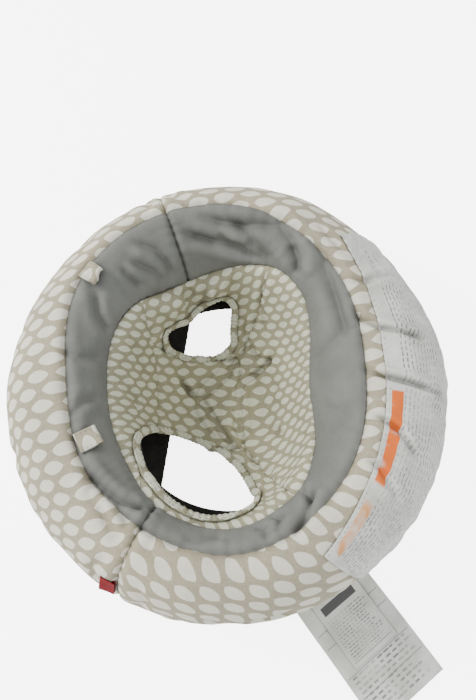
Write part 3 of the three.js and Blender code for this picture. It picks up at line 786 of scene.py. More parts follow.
# Folds in the sling as (x, y, z) in millimetres, then depth and width.
SLING_FOLDS = [
    ([(-44, -70, 22), (-20, -55, 7), (0, -33, 0), (34, -14, 0), (56, 0, 3), (78, 10, 10)], 6.0, 4.2),
    ([(-72, -6, 11), (-56, 11, 4), (-41, 0, 0), (-14, -30, 0), (-1, -45, 0)], 6.0, 4.2),
    ([(-60, 66, 40), (-47, 56, 22), (-36, 36, 3), (-24, 15, 0), (9, 9, 0), (41, 5, 0)], 5.4, 4.2),
    ([(-84, 30, 22), (-60, 40, 12), (-44, 66, 24)], 4.2, 4.5),
    ([(20, 22, 0), (30, 8, 0), (48, 12, 2)], 3.6, 4.0),
    ([(-30, -86, 40), (-10, -78, 18), (14, -74, 10), (38, -72, 14)], 4.0, 5.0),
    ([(-8, -115, 136), (11, -104, 97), (32, -100, 92)], 4.2, 5.0),
    ([(-52, -106, 138), (-36, -100, 100), (-15, -94, 61)], 4.6, 5.0),
    ([(86, 4, 18), (100, 14, 28), (116, 25, 53), (121, 32, 71)], 4.6, 4.0),
    ([(90, 40, 35), (104, 58, 60), (112, 66, 84)], 4.0, 4.5),
    ([(78, 26, 12), (96, 30, 34), (110, 44, 62)], 3.6, 4.0),
    ([(-112, 16, 60), (-92, 24, 32), (-70, 22, 12)], 5.0, 4.5),
    ([(-104, 48, 84), (-84, 56, 40), (-58, 50, 12)], 4.0, 5.0),
    ([(34, 104, 90), (22, 84, 40), (8, 60, 12)], 3.4, 5.5),
    ([(-18, 108, 96), (-16, 82, 36), (-10, 56, 10)], 3.6, 5.5),
    ([(70, 92, 90), (56, 74, 40), (36, 48, 10)], 3.8, 5.5),
]


def seam_lines(x, y):
    """Distance in plan to the nearest seam between sling panels."""
    gaps = [np.abs(y - CROTCH_FRONT), np.where(np.abs(x) < CROTCH_HALF, np.abs(y - CROTCH_BACK), 9)]
    inside = (y > CROTCH_FRONT) & (y < CROTCH_BACK)
    gaps.append(np.where(inside, np.abs(np.abs(x) - CROTCH_HALF), 9))
    tilt_sin, tilt_cos = math.sin(SIDE_SEAM_TILT), math.cos(SIDE_SEAM_TILT)
    beside, behind = np.abs(x) - CROTCH_HALF, y - CROTCH_BACK
    along = beside * tilt_sin + behind * tilt_cos
    across = beside * tilt_cos - behind * tilt_sin
    gaps.append(np.where(along > 0, np.abs(across), 9))
    return np.minimum.reduce(gaps)


def sling_relief(points, around):
    look = settings()
    x, y, z = (points[..., k] / MM for k in range(3))
    lumps = 1.8 * value_noise(points, 48 * MM, 11) + 0.9 * value_noise(points, 22 * MM, 12)
    relief = look.lumps * lumps + 0.35 * value_noise(points, 9 * MM, 13)
    gap = seam_lines(points[..., 0], points[..., 1]) / MM
    ripple = np.sin((x + 1.3 * y + 0.8 * z) / 1.9 + 3 * value_noise(points, 26 * MM, 14))
    relief = relief - 2.4 * bump_at(gap, 0, 2.6) + 0.8 * bump_at(gap, 7, 4)
    relief = relief + look.pucker * 0.8 * ripple * np.exp(-gap / 7)
    # Folds die out near the stiff hems of the leg holes.
    clear = np.minimum(outside_hole(1, points, HEM_WIDTH), outside_hole(-1, points, HEM_WIDTH))
    free = np.clip(clear / (16 * MM), 0.05, 1)
    for route, depth, width in SLING_FOLDS:
        relief = relief + free * crease(points, np.array(route) * MM, depth, width * MM)
    # Cloth bunched up over the right leg hole.
    side = np.mod(around + 180, 360) - 180
    relief = relief + 14 * bump_at(side, -59, 9) * bump_at(z, 108, 22)
    relief = relief + 15 * bump_at(side, -85, 8) * bump_at(z, 92, 20)
    relief = relief - 9 * bump_at(side, -71, 3.2) * bump_at(z, 100, 28)
    ruffle = np.sin(side * 0.62 + 0.03 * z + 2 * value_noise(points, 30 * MM, 15))
    relief = relief + 3.2 * ruffle * bump_at(side, -72, 22) * bump_at(z, 98, 26)
    gather = np.sin(side * 0.55 + 2 * value_noise(points, 40 * MM, 16))
    relief = relief + 1.8 * gather * bump_at(side, 95, 22) * bump_at(z, 60, 40)
    return relief * MM


def sling_surface():
    """The sling's shown face as a grid of points."""
    columns = np.arange(SLING_COLUMNS) * 360 / SLING_COLUMNS
    radius, height = sling_profiles(columns)
    around = np.broadcast_to(columns[None, :], radius.shape)
    points = in_space(around, radius, height)
    down = np.gradient(points, axis=0)
    round_ = np.roll(points, -1, axis=1) - np.roll(points, 1, axis=1)
    normal = np.cross(down, round_)
    normal[-1] = (0, 0, 1)
    length = np.linalg.norm(normal, axis=-1, keepdims=True)
    normal = np.where(length > 1e-12, normal / np.maximum(length, 1e-12), np.array([0, 0, 1.0]))
    inward = np.stack([-points[..., 0], -points[..., 1], np.full(radius.shape, 0.2)], -1)
    normal = normal * np.sign(np.sum(normal * inward, -1) + 1e-12)[..., None]
    fade = np.clip(np.arange(SLING_ROWS) / 8, 0, 1)[:, None]
    middle = np.clip(radius / (12 * MM), 0, 1)
    tuck = -3.2 * MM * np.clip(1 - np.arange(SLING_ROWS) / 3, 0, 1)[:, None]
    relief = sling_relief(points, around) * fade * middle + SLING_THICKNESS * fade
    near_wall = np.clip((height - 25 * MM) / (40 * MM), 0, 1)
    relief = np.where(near_wall > 0, np.maximum(relief, (-6 + 6.2 * near_wall) * MM), relief) + tuck
    shown = points + normal * relief[..., None]
    shown[..., 2] = np.maximum(shown[..., 2], 1.6 * MM)
    return shown


def leg_frame(side):
    sin_a, cos_a = math.sin(LEG_AROUND), math.cos(LEG_AROUND)
    sin_d, cos_d = math.sin(LEG_DOWN), math.cos(LEG_DOWN)
    out = np.array([side * sin_a * cos_d, -cos_a * cos_d, -sin_d])
    back = np.array([side * cos_a, sin_a, 0])
    up = np.array([side * sin_a * sin_d, -cos_a * sin_d, cos_d])
    return out, back, up


def hole_radius(side, turn):
    return periodic(LEFT_HOLE if side > 0 else RIGHT_HOLE, turn)


def hole_middle(side):
    return LEFT_MIDDLE if side > 0 else RIGHT_MIDDLE


def outside_hole(side, points, growth):
    """Positive outside a leg hole's edge grown by a width."""
    out, back, up = leg_frame(side)
    middle_back, middle_up = hole_middle(side)
    across = points @ back - middle_back
    rise = points @ up - middle_up
    turn = np.arctan2(rise, across) / DEGREE
    value = np.hypot(across, rise) - hole_radius(side, turn) - growth
    return np.where(points @ out > PUNCH_START, value, np.abs(value) + 30 * MM)


def cut_hole(build, side, growth):
    """Splits the cloth along a leg hole's edge and takes the inside away."""
    build.verts.ensure_lookup_table()
    value = {v: float(outside_hole(side, np.array(v.co), growth)) for v in build.verts}
    added = []
    for edge in list(build.edges):
        a, b = edge.verts
        if value[a] * value[b] >= 0:
            continue
        share = value[a] / (value[a] - value[b])
        share = min(max(share, 0.02), 0.98)
        _, vert = bmesh.utils.edge_split(edge, a, share)
        value[vert] = 0.0
        added.append(vert)
    bmesh.ops.connect_verts(build, verts=added)
    inside = []
    for face in build.faces:
        middle = sum(value[v] for v in face.verts) / len(face.verts)
        if middle < 0:
            inside.append(face)
    bmesh.ops.delete(build, geom=inside, context="FACES")


def panel_of(x, y):
    if y < CROTCH_FRONT:
        return "seat_front_panel"
    reach = abs(x) - CROTCH_HALF
    if reach > 0:
        if y - CROTCH_BACK < reach / math.tan(SIDE_SEAM_TILT):
            return "seat_left_panel" if x > 0 else "seat_right_panel"
        return "seat_back_panel"
    return "seat_crotch_panel" if y < CROTCH_BACK else "seat_back_panel"


PANEL_TURN = {
    "seat_front_panel": -10,
    "seat_crotch_panel": 4,
    "seat_back_panel": 0,
    "seat_left_panel": 38,
    "seat_right_panel": -24,
}


def sling_print(points, turn):
    """Print coordinates on the sling: its plan, with the steep walls laid out flat."""
    points = np.asarray(points)
    x, y, z = points[..., 0], points[..., 1], points[..., 2]
    radius = np.maximum(np.hypot(x, y), 1e-6)
    grown = 1 + 0.75 * z / radius
    angle = turn * DEGREE
    px, py = x * grown, y * grown
    across = px * math.cos(angle) - py * math.sin(angle)
    along = px * math.sin(angle) + py * math.cos(angle)
    return np.stack([across, along], -1)


@functools.cache
def sling_build():
    """A tree to lay hems on the whole sling, and the bmesh that is cut afterwards."""
    points = sling_surface()
    rows, columns = points.shape[:2]
    mesh = bpy.data.meshes.new("sling_whole")
    faces = grid_faces(rows, columns, wraps=True)
    mesh.from_pydata([tuple(p) for p in points.reshape(-1, 3)], [], [tuple(int(i) for i in f) for f in faces])
    build = bmesh.new()
    build.from_mesh(mesh)
    bpy.data.meshes.remove(mesh)
    build.verts.ensure_lookup_table()
    middle = [build.verts[(rows - 1) * columns + k] for k in range(columns)]
    bmesh.ops.remove_doubles(build, verts=middle, dist=1e-4)
    bmesh.ops.recalc_face_normals(build, faces=build.faces)
    build.normal_update()
    return BVHTree.FromBMesh(build), build


def on_sling(side, turn, growth):
    """Point and normal of the sling where a leg hole's grown edge lies on it."""
    out, back, up = leg_frame(side)
    size = float(hole_radius(side, np.array(turn))) + growth
    middle_back, middle_up = hole_middle(side)
    across = middle_back + size * math.cos(turn * DEGREE)
    rise = middle_up + size * math.sin(turn * DEGREE)
    start = back * across + up * rise + out * PUNCH_START
    tree, _ = sling_build()
    hit, normal, _, _ = tree.ray_cast(Vector(start), Vector(out))
    if hit is None:
        hit, normal, _, _ = tree.find_nearest(Vector(start))
    normal = np.array(normal)
    if normal @ out > 0:
        normal = -normal
    return np.array(hit), normal


def smooth_closed(values, passes):
    for _ in range(passes):
        values = (np.roll(values, 1, axis=0) + 2 * values + np.roll(values, -1, axis=0)) / 4
    return values


def hem_path(side):
    """Middle line of a hem with its directions across and off the cloth."""
    turns = np.arange(HEM_TURNS) * 360 / HEM_TURNS
    found = [on_sling(side, turn, HEM_WIDTH / 2) for turn in turns]
    route = smooth_closed(np.array([f[0] for f in found]), 6)
    normal = smooth_closed(np.array([f[1] for f in found]), 8)
    along = np.roll(route, -1, axis=0) - np.roll(route, 1, axis=0)
    along /= np.linalg.norm(along, axis=1, keepdims=True)
    normal -= np.sum(normal * along, axis=1, keepdims=True) * along
    normal /= np.linalg.norm(normal, axis=1, keepdims=True)
    across = np.cross(along, normal)
    outward = route - route.mean(axis=0)
    across *= np.sign(np.sum(across * outward, axis=1))[:, None]
    lengths = np.concatenate([[0], np.cumsum(np.linalg.norm(np.diff(route, axis=0), axis=1))])
    return route, across, normal, lengths


def gathers(side, lengths, reach):
    """Small folds across a hem where the elastic draws it in."""
    place = np.stack([lengths, lengths * 0, lengths * 0 + side], -1)
    drift = 2.5 * value_noise(place, 23 * MM, 21)
    size = 0.8 + 0.5 * value_noise(place, 16 * MM, 22)
    return np.sin(lengths / (6.5 * MM) * 2 * math.pi + drift) * size * reach


# ---------------------------------------------------------------- settings
def share_setting(name, description):
    return FloatProperty(name=name, description=description, default=1.0, min=0, max=3)


def length_setting(name, description, value):
    return FloatProperty(name=name, description=description, default=value, unit="LENGTH")


def colour_setting(name, description, value):
    return FloatVectorProperty(name=name, description=description, subtype="COLOR", default=value)


class SupportSeatSettings(bpy.types.PropertyGroup):
    """Sizes and colours of the support seat."""

    lumps: share_setting("Lumps", "How uneven the stuffing is")
    pucker: share_setting("Pucker", "How much the cloth puckers at its seams")
    crinkle: share_setting("Label crinkle", "How crumpled the labels are")
    leaf_length: length_setting("Leaf length", "Length of one printed leaf", 23 * MM)
    leaf_width: length_setting("Leaf width", "Width of one printed leaf", 12.6 * MM)
    leaf_pitch: length_setting("Leaf pitch", "Step between leaves in a row", 29 * MM)
    row_pitch: length_setting("Row pitch", "Step between rows of leaves", 15 * MM)
    ground_colour: colour_setting("Print ground", "Ground of the print", (0.385, 0.33, 0.205))
    ground_shade: colour_setting("Print ground, worn", "Worn ground of the print", (0.315, 0.272, 0.175))
    leaf_colour: colour_setting("Leaf", "Printed leaf", (0.90, 0.87, 0.72))
    leaf_shade: colour_setting("Leaf, worn", "Worn printed leaf", (0.74, 0.715, 0.60))
    plush_colour: colour_setting("Plush", "Grey plush", (0.228, 0.232, 0.212))
    plush_shade: colour_setting("Plush, shaded", "Plush lying away", (0.172, 0.176, 0.16))
    plush_light: colour_setting("Plush, tips", "Tips of the pile", (0.32, 0.325, 0.30))
    lining_colour: colour_setting("Lining", "Charcoal lining", (0.045, 0.040, 0.036))
    lining_light: colour_setting("Lining, light", "Rubbed lining", (0.07, 0.064, 0.058))
    label_colour: colour_setting("Label", "Label cloth", (0.86, 0.86, 0.80))
    label_shade: colour_setting("Label, worn", "Worn label cloth", (0.62, 0.62, 0.56))
    ink_colour: colour_setting("Bars", "Plain bars on the labels", (0.20, 0.20, 0.20))
    band_colour: colour_setting("Label band", "Coloured band on the back label", (0.86, 0.17, 0.02))
    band_faded: colour_setting("Label band, faded", "Worn part of the band", (0.80, 0.42, 0.14))
    ribbon_colour: colour_setting("Ribbon", "Side tag", (0.32, 0.003, 0.008))
    thread_colour: colour_setting("Thread", "Sewing thread", (0.66, 0.64, 0.58))


# ---------------------------------------------------------------- operators
class SEAT_OT_stuffing(bpy.types.Operator):
    """Builds the ring of stuffing inside the covers"""

    bl_idname = "seat.stuffing"
    bl_label = "Ring stuffing"

    def execute(self, context):
        around = np.arange(240) * 360 / 240
        over = np.arange(72) * 360 / 72
        a, o = np.meshgrid(around, over, indexing="ij")
        offset = cover_relief(a, np.where(o > 270, o - 360, o))
        offset = -7 * MM + 0.5 * np.where((o < 300) & (o > 170), 0, offset) - leg_squeeze(a, o)
        radius, height = tube_wall(a, o, offset)
        points = in_space(a, radius, np.maximum(height, 3.4 * MM))
        colour, shade = (0.85, 0.84, 0.80), (0.72, 0.71, 0.66)
        white = plain_cloth("stuffing_fibre", colour, shade, 1.6 * MM, roughness=0.95, sheen=0.4, lump=0.9)
        coords = np.stack([a * DEGREE * MIDDLE_LINE, o * DEGREE * 0.07], -1)
        ring = tube_mesh("ring_stuffing", points, coords, white, inward=True)
        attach(ring, "seat")
        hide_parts("ring_filling")
        return {"FINISHED"}


class SEAT_OT_covers(bpy.types.Operator):
    """Builds the printed and plush covers of the ring"""

    bl_idname = "seat.covers"
    bl_label = "Ring covers"

    def execute(self, context):
        foot = foot_angle(COVER_FOOT_HEIGHT)
        front = (RIGHT_CROSS_SEAM, LEFT_CROSS_SEAM)
        back = (LEFT_CROSS_SEAM, 360 + RIGHT_CROSS_SEAM)
        printed = (lambda a: np.full_like(a, foot), lambda a: periodic(PRINT_SEAM, a), 90)
        plain = (lambda a: periodic(PRINT_SEAM, a), lambda a: periodic(SEAT_SEAM, a), 34)
        rows = [
            ("front_print", front, printed, printed_cotton(), front_turn, (0.270, 0.530), 0.80),
            ("back_print", back, printed, printed_cotton(), back_turn, (0.270, 0.930), 0.85),
            ("front_plush", front, plain, grey_plush(), front_turn, (0.080, 0.400), 0.85),
            ("back_plush", back, plain, grey_plush(), back_turn, (0.110, 0.640), 0.65),
        ]
        for name, (start, end), (low, high, count), material, turn, flat, share in rows:
            cover = ring_cover(name + "_cover", start, end, low, high, count, material, turn)
            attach(cover, "seat")
            node = name.replace("plush", "grey") + "_panel"
            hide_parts(node)
        return {"FINISHED"}


class SEAT_OT_lining(bpy.types.Operator):
    """Builds the charcoal lining inside the ring and the base under it"""

    bl_idname = "seat.lining"
    bl_label = "Lining and base"

    def execute(self, context):
        around = np.arange(480)[None, :] * 360 / 480
        share = np.linspace(0, 1, 44)[:, None]
        seam = periodic(SEAT_SEAM, around)
        last = 180 - foot_angle(COVER_FOOT_HEIGHT)
        over = seam + (last - seam) * share
        around = np.broadcast_to(around, over.shape)
        points = on_tube(around, over)
        relief = (1.2 * value_noise(points, 40 * MM, 31) + 0.6 * value_noise(points, 14 * MM, 32)) * MM
        gather = 1.2 * MM * np.sin(around * 2.1 + 3 * value_noise(points, 40 * MM, 33))
        relief = relief + gather * np.clip(1 - share * 3, 0, 1) - (3 + 4 * np.clip(1 - share * 4, 0, 1)) * MM
        relief = relief - leg_squeeze(around, over)
        radius, height = tube_wall(around, over, relief)
        points = in_space(around, radius, np.maximum(height, COVER_FOOT_HEIGHT))
        coords = np.stack([around * DEGREE * 0.12, over * DEGREE * 0.09], -1)
        lining = cloth("inner_lining_cloth", points, coords, charcoal_mesh(), wraps=True, inward=False)
        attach(lining, "seat")
        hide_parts("inner_lining")

        foot = foot_angle(0.0)
        around = np.arange(480) * 360 / 480
        outer = tube_wall(around, foot)[0] - 0.5 * MM
        straight = 71 * MM / np.maximum(np.cos(around * DEGREE) - 0.19 * np.sin(around * DEGREE), 1e-6)
        inner = np.minimum.reduce([np.full(480, 134 * MM), straight, tube_wall(around, 180 - foot)[0]])
        share = np.linspace(0, 1, 26)[:, None]
        radius = inner + (outer - inner) * share
        around = np.broadcast_to(around[None, :], radius.shape)
        points = in_space(around, radius, np.full(radius.shape, 1.3 * MM))
        ripple = np.sin(around * 1.7 + 3 * value_noise(points, 50 * MM, 35)) * np.clip(1 - share * 4, 0, 1)
        points[..., 2] += (0.45 * value_noise(points, 25 * MM, 34) + 0.5 * ripple) * MM
        coords = points[..., :2]
        base = cloth(
            "base_cloth", points, coords, charcoal_mesh(), wraps=True, thickness=0.9 * MM, inward=False
        )
        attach(base, "seat")
        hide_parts("base_panel")
        return {"FINISHED"}


class SEAT_OT_sling(bpy.types.Operator):
    """Builds the five panels of the sling seat with its leg holes"""

    bl_idname = "seat.sling"
    bl_label = "Sling seat"

    def execute(self, context):
        _, build = sling_build()
        tilt = SIDE_SEAM_TILT
        planes = [((0, CROTCH_FRONT, 0), (0, 1, 0)), ((0, CROTCH_BACK, 0), (0, 1, 0))]
        for side in (1, -1):
            planes.append(((side * CROTCH_HALF, 0, 0), (1, 0, 0)))
            planes.append(((side * CROTCH_HALF, CROTCH_BACK, 0), (side * math.cos(tilt), -math.sin(tilt), 0)))
        for place, normal in planes:
            everything = build.verts[:] + build.edges[:] + build.faces[:]
            bmesh.ops.bisect_plane(build, geom=everything, dist=1e-6, plane_co=place, plane_no=normal)
        for side in (1, -1):
            cut_hole(build, side, 0.55 * HEM_WIDTH)
        flats = {
            "seat_front_panel": ((0.280, 0.120), 0.0155),
            "seat_crotch_panel": ((0.120, 0.102), 0.0105),
            "seat_back_panel": ((0.340, 0.220), 0.0340),
            "seat_left_panel": ((0.180, 0.130), 0.0080),
            "seat_right_panel": ((0.180, 0.130), 0.0100),
        }
        for name, (flat, area) in flats.items():
            part = build.copy()
            others = [f for f in part.faces if panel_of(*f.calc_center_median()[:2]) != name]
            bmesh.ops.delete(part, geom=others, context="FACES")
            mesh = bpy.data.meshes.new(name + "_cloth")
            part.to_mesh(mesh)
            part.free()
            layer = mesh.uv_layers.new(name="UVMap")
            corners = np.empty(len(mesh.loops), dtype=np.int32)
            mesh.loops.foreach_get("vertex_index", corners)
            places = np.empty(len(mesh.vertices) * 3)
            mesh.vertices.foreach_get("co", places)
            coords = sling_print(places.reshape(-1, 3), PANEL_TURN[name])
            layer.data.foreach_set("uv", coords[corners].astype(np.float32).ravel())
            mesh.polygons.foreach_set("use_smooth", [True] * len(mesh.polygons))
            mesh.materials.append(seat_cotton())
            panel = bpy.data.objects.new(name + "_cloth", mesh)
            context.scene.collection.objects.link(panel)
            thicken(panel, 1.2 * MM)
            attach(panel, "seat")
            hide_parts(name)
        return {"FINISHED"}


class SEAT_OT_hems(bpy.types.Operator):
    """Builds the gathered hems of the leg holes with their elastic and stitching"""

    bl_idname = "seat.hems"
    bl_label = "Leg hems"

    def execute(self, context):
        rubber = plain_cloth("elastic_tape", (0.70, 0.68, 0.63), (0.55, 0.53, 0.48), 0.7 * MM, 0.7)
        for word, side in (("left", 1), ("right", -1)):
            route, across, normal, lengths = hem_path(side)
            turn = np.arange(HEM_SECTION) * 2 * math.pi / HEM_SECTION
            wide = np.sign(np.cos(turn)) * np.abs(np.cos(turn)) ** 0.75 * HEM_WIDTH * 0.53
            thick = np.sign(np.sin(turn)) * np.abs(np.sin(turn)) ** 0.75 * 1.9 * MM
            wave = gathers(side, lengths, 0.75 * MM)
            waist = 1 - 0.30 * np.exp(-((np.abs(np.cos(turn)) - 0.45) ** 2) / 0.02)
            lift = 1.6 * MM + wave[:, None] * (np.sin(turn) > -0.2)
            edge = gathers(-side, lengths, 0.9 * MM)[:, None] * np.abs(np.cos(turn))
            loops = (
                route[:, None, :]
                + across[:, None, :] * (wide[None, :] + edge * 0.5)[..., None]
                + normal[:, None, :] * (thick[None, :] * waist[None, :] + lift)[..., None]
            )
            girth = np.arange(HEM_SECTION) * 23 * MM / HEM_SECTION - 23 / 4 * MM
            coords = np.stack(np.broadcast_arrays(girth[None, :], lengths[:, None]), -1)
            hem = tube_mesh(word + "_leg_hem_cloth", loops, coords, seat_cotton())
            build = bmesh.new()
            build.from_mesh(hem.data)
            bmesh.ops.recalc_face_normals(build, faces=build.faces)
            build.to_mesh(hem.data)
            build.free()
            thicken(hem, 0.5 * MM)
            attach(hem, "seat")
            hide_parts(word + "_leg_hem")
            pairs, ups = [], []
            for place in (-0.26, 0.26):
                line = route + across * (place * HEM_WIDTH) + normal * (HEM_STITCH_HEIGHT + wave)[:, None]
                more, tops = stitch_row(line, normal, closed=True)
                pairs += more
                ups += tops
            thread = stitches(word + "_leg_hem_stitching", pairs, ups, thread_material())
            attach(thread, "seat")
            flat_section = [(-2.3, -0.5), (2.3, -0.5), (2.3, 0.5), (-2.3, 0.5)]
            band = np.array(
                [
                    route + across * (b * MM) + normal * ((t + 1.6) * MM + wave)[:, None]
                    for b, t in flat_section
                ]
            ).transpose(1, 0, 2)
            coords = np.stack(np.broadcast_arrays(np.arange(4)[None, :] * 2 * MM, lengths[:, None]), -1)
            elastic = tube_mesh(word + "_leg_elastic_tape", band, coords, rubber)
            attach(elastic, "seat")
            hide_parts(word + "_leg_elastic")
        return {"FINISHED"}


def loop_axes(around, over):
    """Corner place on the tube, with directions out from the ring, along the seam and off the cloth."""
    here = on_tube(around, over).reshape(3)
    ahead = on_tube(around, over - 1).reshape(3)
    out = ahead - here
    out /= np.linalg.norm(out)
    along = np.array([math.cos(around * DEGREE), math.sin(around * DEGREE), 0])
    off = np.cross(out, along)
    return here, out, along, off


class SEAT_OT_toy_loops(bpy.types.Operator):
    """Builds the two printed loops sewn into the ring's seam for toys"""

    bl_idname = "seat.toy_loops"
    bl_label = "Toy loops"

    def execute(self, context):
        for name, around, twist, body in (
            ("toy_loop_left", 26, 0.10, "left_loop"),
            ("toy_loop_right", -39, 0.55, "right_loop"),
        ):
            over = float(periodic(PRINT_SEAM, around))
            here, out, along, off = loop_axes(around, over)
            inward = -out
            lower = np.linspace(0, 19, 22)
            bend = np.linspace(-90, 90, 18) * DEGREE
            upper = np.linspace(19, 0, 22)[1:]
            x = np.concatenate([lower, 19 + 3.0 * np.cos(bend), upper])
            z = np.concatenate([np.full(22, 1.4), 4.4 + 3.0 * np.sin(bend), np.linspace(7.4, 3.2, 22)[1:]])
            x = x + 1.0
            path = np.linspace(0, 1, len(x))
            width = np.linspace(-10, 10, 20)
            grid = np.zeros((20, len(x), 3))
            for row, b in enumerate(width):
                sway = twist * 5 * math.sin(b / 10 * 1.6) * np.sin(path * math.pi)
                rise = twist * 3.5 * np.sin(b / 10 * 2.4 + x / 9) * np.clip(x / 8, 0, 1)
                place = (
                    here
                    + inward * ((x + sway)[:, None] * MM)
                    + along * ((b * (1 - 0.06 * np.clip(x / 22, 0, 1)))[:, None] * MM)
                    + off * ((z + np.abs(rise))[:, None] * MM)
                )
                crumple = value_noise(place, 8 * MM, 41) * (0.4 + twist) * MM * np.clip(x / 6, 0, 1)
                grid[row] = place + off * crumple[:, None]
            run = np.concatenate([[0], np.cumsum(np.hypot(np.diff(x), np.diff(z)))]) * MM
            coords = np.stack(np.broadcast_arrays(run[None, :], width[:, None] * MM), -1)
            tape = cloth(name + "_tape", grid, coords + 0.007, printed_cotton(), thickness=0.9 * MM)
            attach(tape, body)
            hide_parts(name)
            pairs, ups = [], []
            for side in (-8.2, 8.2):
                row = int(round((side + 10) / 20 * 19))
                top = grid[row, -20:] + off * 0.25 * MM
                more, tops = stitch_row(top, np.tile(off, (20, 1)))
                pairs += more
                ups += tops
            thread = stitches(name + "_stitching", pairs, ups, thread_material(), radius=0.22 * MM)
            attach(thread, body)
        return {"FINISHED"}


class SEAT_OT_side_tag(bpy.types.Operator):
    """Builds the plain red ribbon tag folded into the side seam"""

    bl_idname = "seat.side_tag"
    bl_label = "Side tag"

    def execute(self, context):
        look = settings()
        here, out, along, off = loop_axes(LEFT_CROSS_SEAM, 44)
        shade = tuple(c * 0.62 for c in look.ribbon_colour)
        ribbon = plain_cloth("red_ribbon", look.ribbon_colour, shade, 0.5 * MM, 0.75, 0.0, 0.2)
        bend = np.linspace(-90, 90, 12) * DEGREE
        reach = 14.2
        under, above = np.linspace(0, reach, 22), np.linspace(reach, 0, 22)[1:]
        y = np.concatenate([under, reach + 0.8 * np.cos(bend), above])
        z = np.concatenate([np.full(22, 1.0), 1.8 + 0.8 * np.sin(bend), np.full(21, 2.6)])
        widths = np.linspace(-12, 12, 26)
        grid = np.zeros((26, len(y), 3))
        for row, b in enumerate(widths):
            curl = 1.5 * (y / reach) ** 2 * (0.6 + 0.4 * b / 12) + 0.5 * np.sin(b / 5) * y / reach
            grid[row] = here + out * (b * MM) - along * (y[:, None] * MM) + off * ((z + curl)[:, None] * MM)
        run = np.concatenate([[0], np.cumsum(np.hypot(np.diff(y), np.diff(z)))]) * MM
        coords = np.stack(np.broadcast_arrays(run[None, :], widths[:, None] * MM), -1)
        tag = cloth("side_tag_ribbon", grid, coords, ribbon, thickness=0.6 * MM)
        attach(tag, "tag")
        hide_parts("side_tag")
        return {"FINISHED"}


class SEAT_OT_back_label(bpy.types.Operator):
    """Builds the big crinkled label sewn over the back of the ring"""

    bl_idname = "seat.back_label"
    bl_label = "Back label"

    def execute(self, context):
        look = settings()
        share = np.linspace(-1, 1, 300)[None, :]
        top = 95 - 17 * np.abs(share) ** 3
        down = np.linspace(0, 1, 110)[:, None]
        over = top + (-30 - top) * down
        lean = (top - over) * 0.12
        around = 170 + share * (56 - lean)
        points = on_tube(around, over)
        crinkle = (
            1.5 * value_noise(points, 30 * MM, 51)
            + 1.4 * value_noise(points, 13 * MM, 52)
            + 1.4 * np.abs(value_noise(points, 20 * MM, 53))
            + 0.35 * value_noise(points, 6 * MM, 54)
        )
        for route, depth, width in (
            ([(150, 92), (152, 60), (149, 30)], 2.0, 5.0),
            ([(134, 84), (138, 56), (136, 22)], 2.2, 5.0),
            ([(184, 50), (178, 20), (180, -10)], 2.0, 5.0),
        ):
            places = np.array(route, float)
            crinkle = crinkle + crease(points, on_tube(places[:, 0], places[:, 1]), depth, width * MM)
        edge = np.minimum(np.minimum(down, 1 - down) * 170, (1 - np.abs(share)) * 180)
        sewn = np.clip(edge / 7, 0, 1)
        ripple = np.sin(around * 3.1 + over * 0.9 + 3 * value_noise(points, 24 * MM, 55)) * np.exp(-edge / 6)
        crumple = look.crinkle * (0.4 + 0.8 * crinkle) * (0.25 + 0.75 * sewn)
        offset = cover_relief(around, over) + np.maximum(2.0 + crumple + 0.4 * ripple, 1.6) * MM
        radius, height = tube_wall(around, over, offset)
        points = in_space(around, radius, height)
        metric = 0.190 * DEGREE
        coords = np.stack([(around - 170) * metric, np.broadcast_to(down, over.shape) * 0.175], -1)
        paper = label_paper(
            "back_label_cloth_finish",
            rows=(17 * MM, 150 * MM, 4.4 * MM, 1.25 * MM, -0.172, 0.172),
            words=6.5 * MM,
            band=(4.5 * MM, 15.5 * MM, -0.176, -0.122, -0.104, -0.010),
        )
        label = cloth("back_label_cloth", points, coords, paper, thickness=0.5 * MM, inward=True)
        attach(label, "seat")
        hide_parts("back_label")
        normal = np.cross(np.gradient(points, axis=1), np.gradient(points, axis=0))
        normal /= np.linalg.norm(normal, axis=-1, keepdims=True)
        outward = points - in_space(around, np.full(around.shape, 0.17), np.full(around.shape, 0.08))
        normal *= np.sign(np.sum(normal * outward, -1))[..., None]
        pairs, ups = [], []
        for row in (np.s_[2], np.s_[-3], np.s_[:, 3], np.s_[:, -4]):
            line, up = points[row], normal[row]
            more, tops = stitch_row(line + up * 0.2 * MM, up, stitch=3.2 * MM, gap=1.8 * MM)
            pairs += more
            ups += tops
        thread = stitches("back_label_stitching", pairs, ups, thread_material(), radius=0.3 * MM)
        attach(thread, "seat")
        return {"FINISHED"}


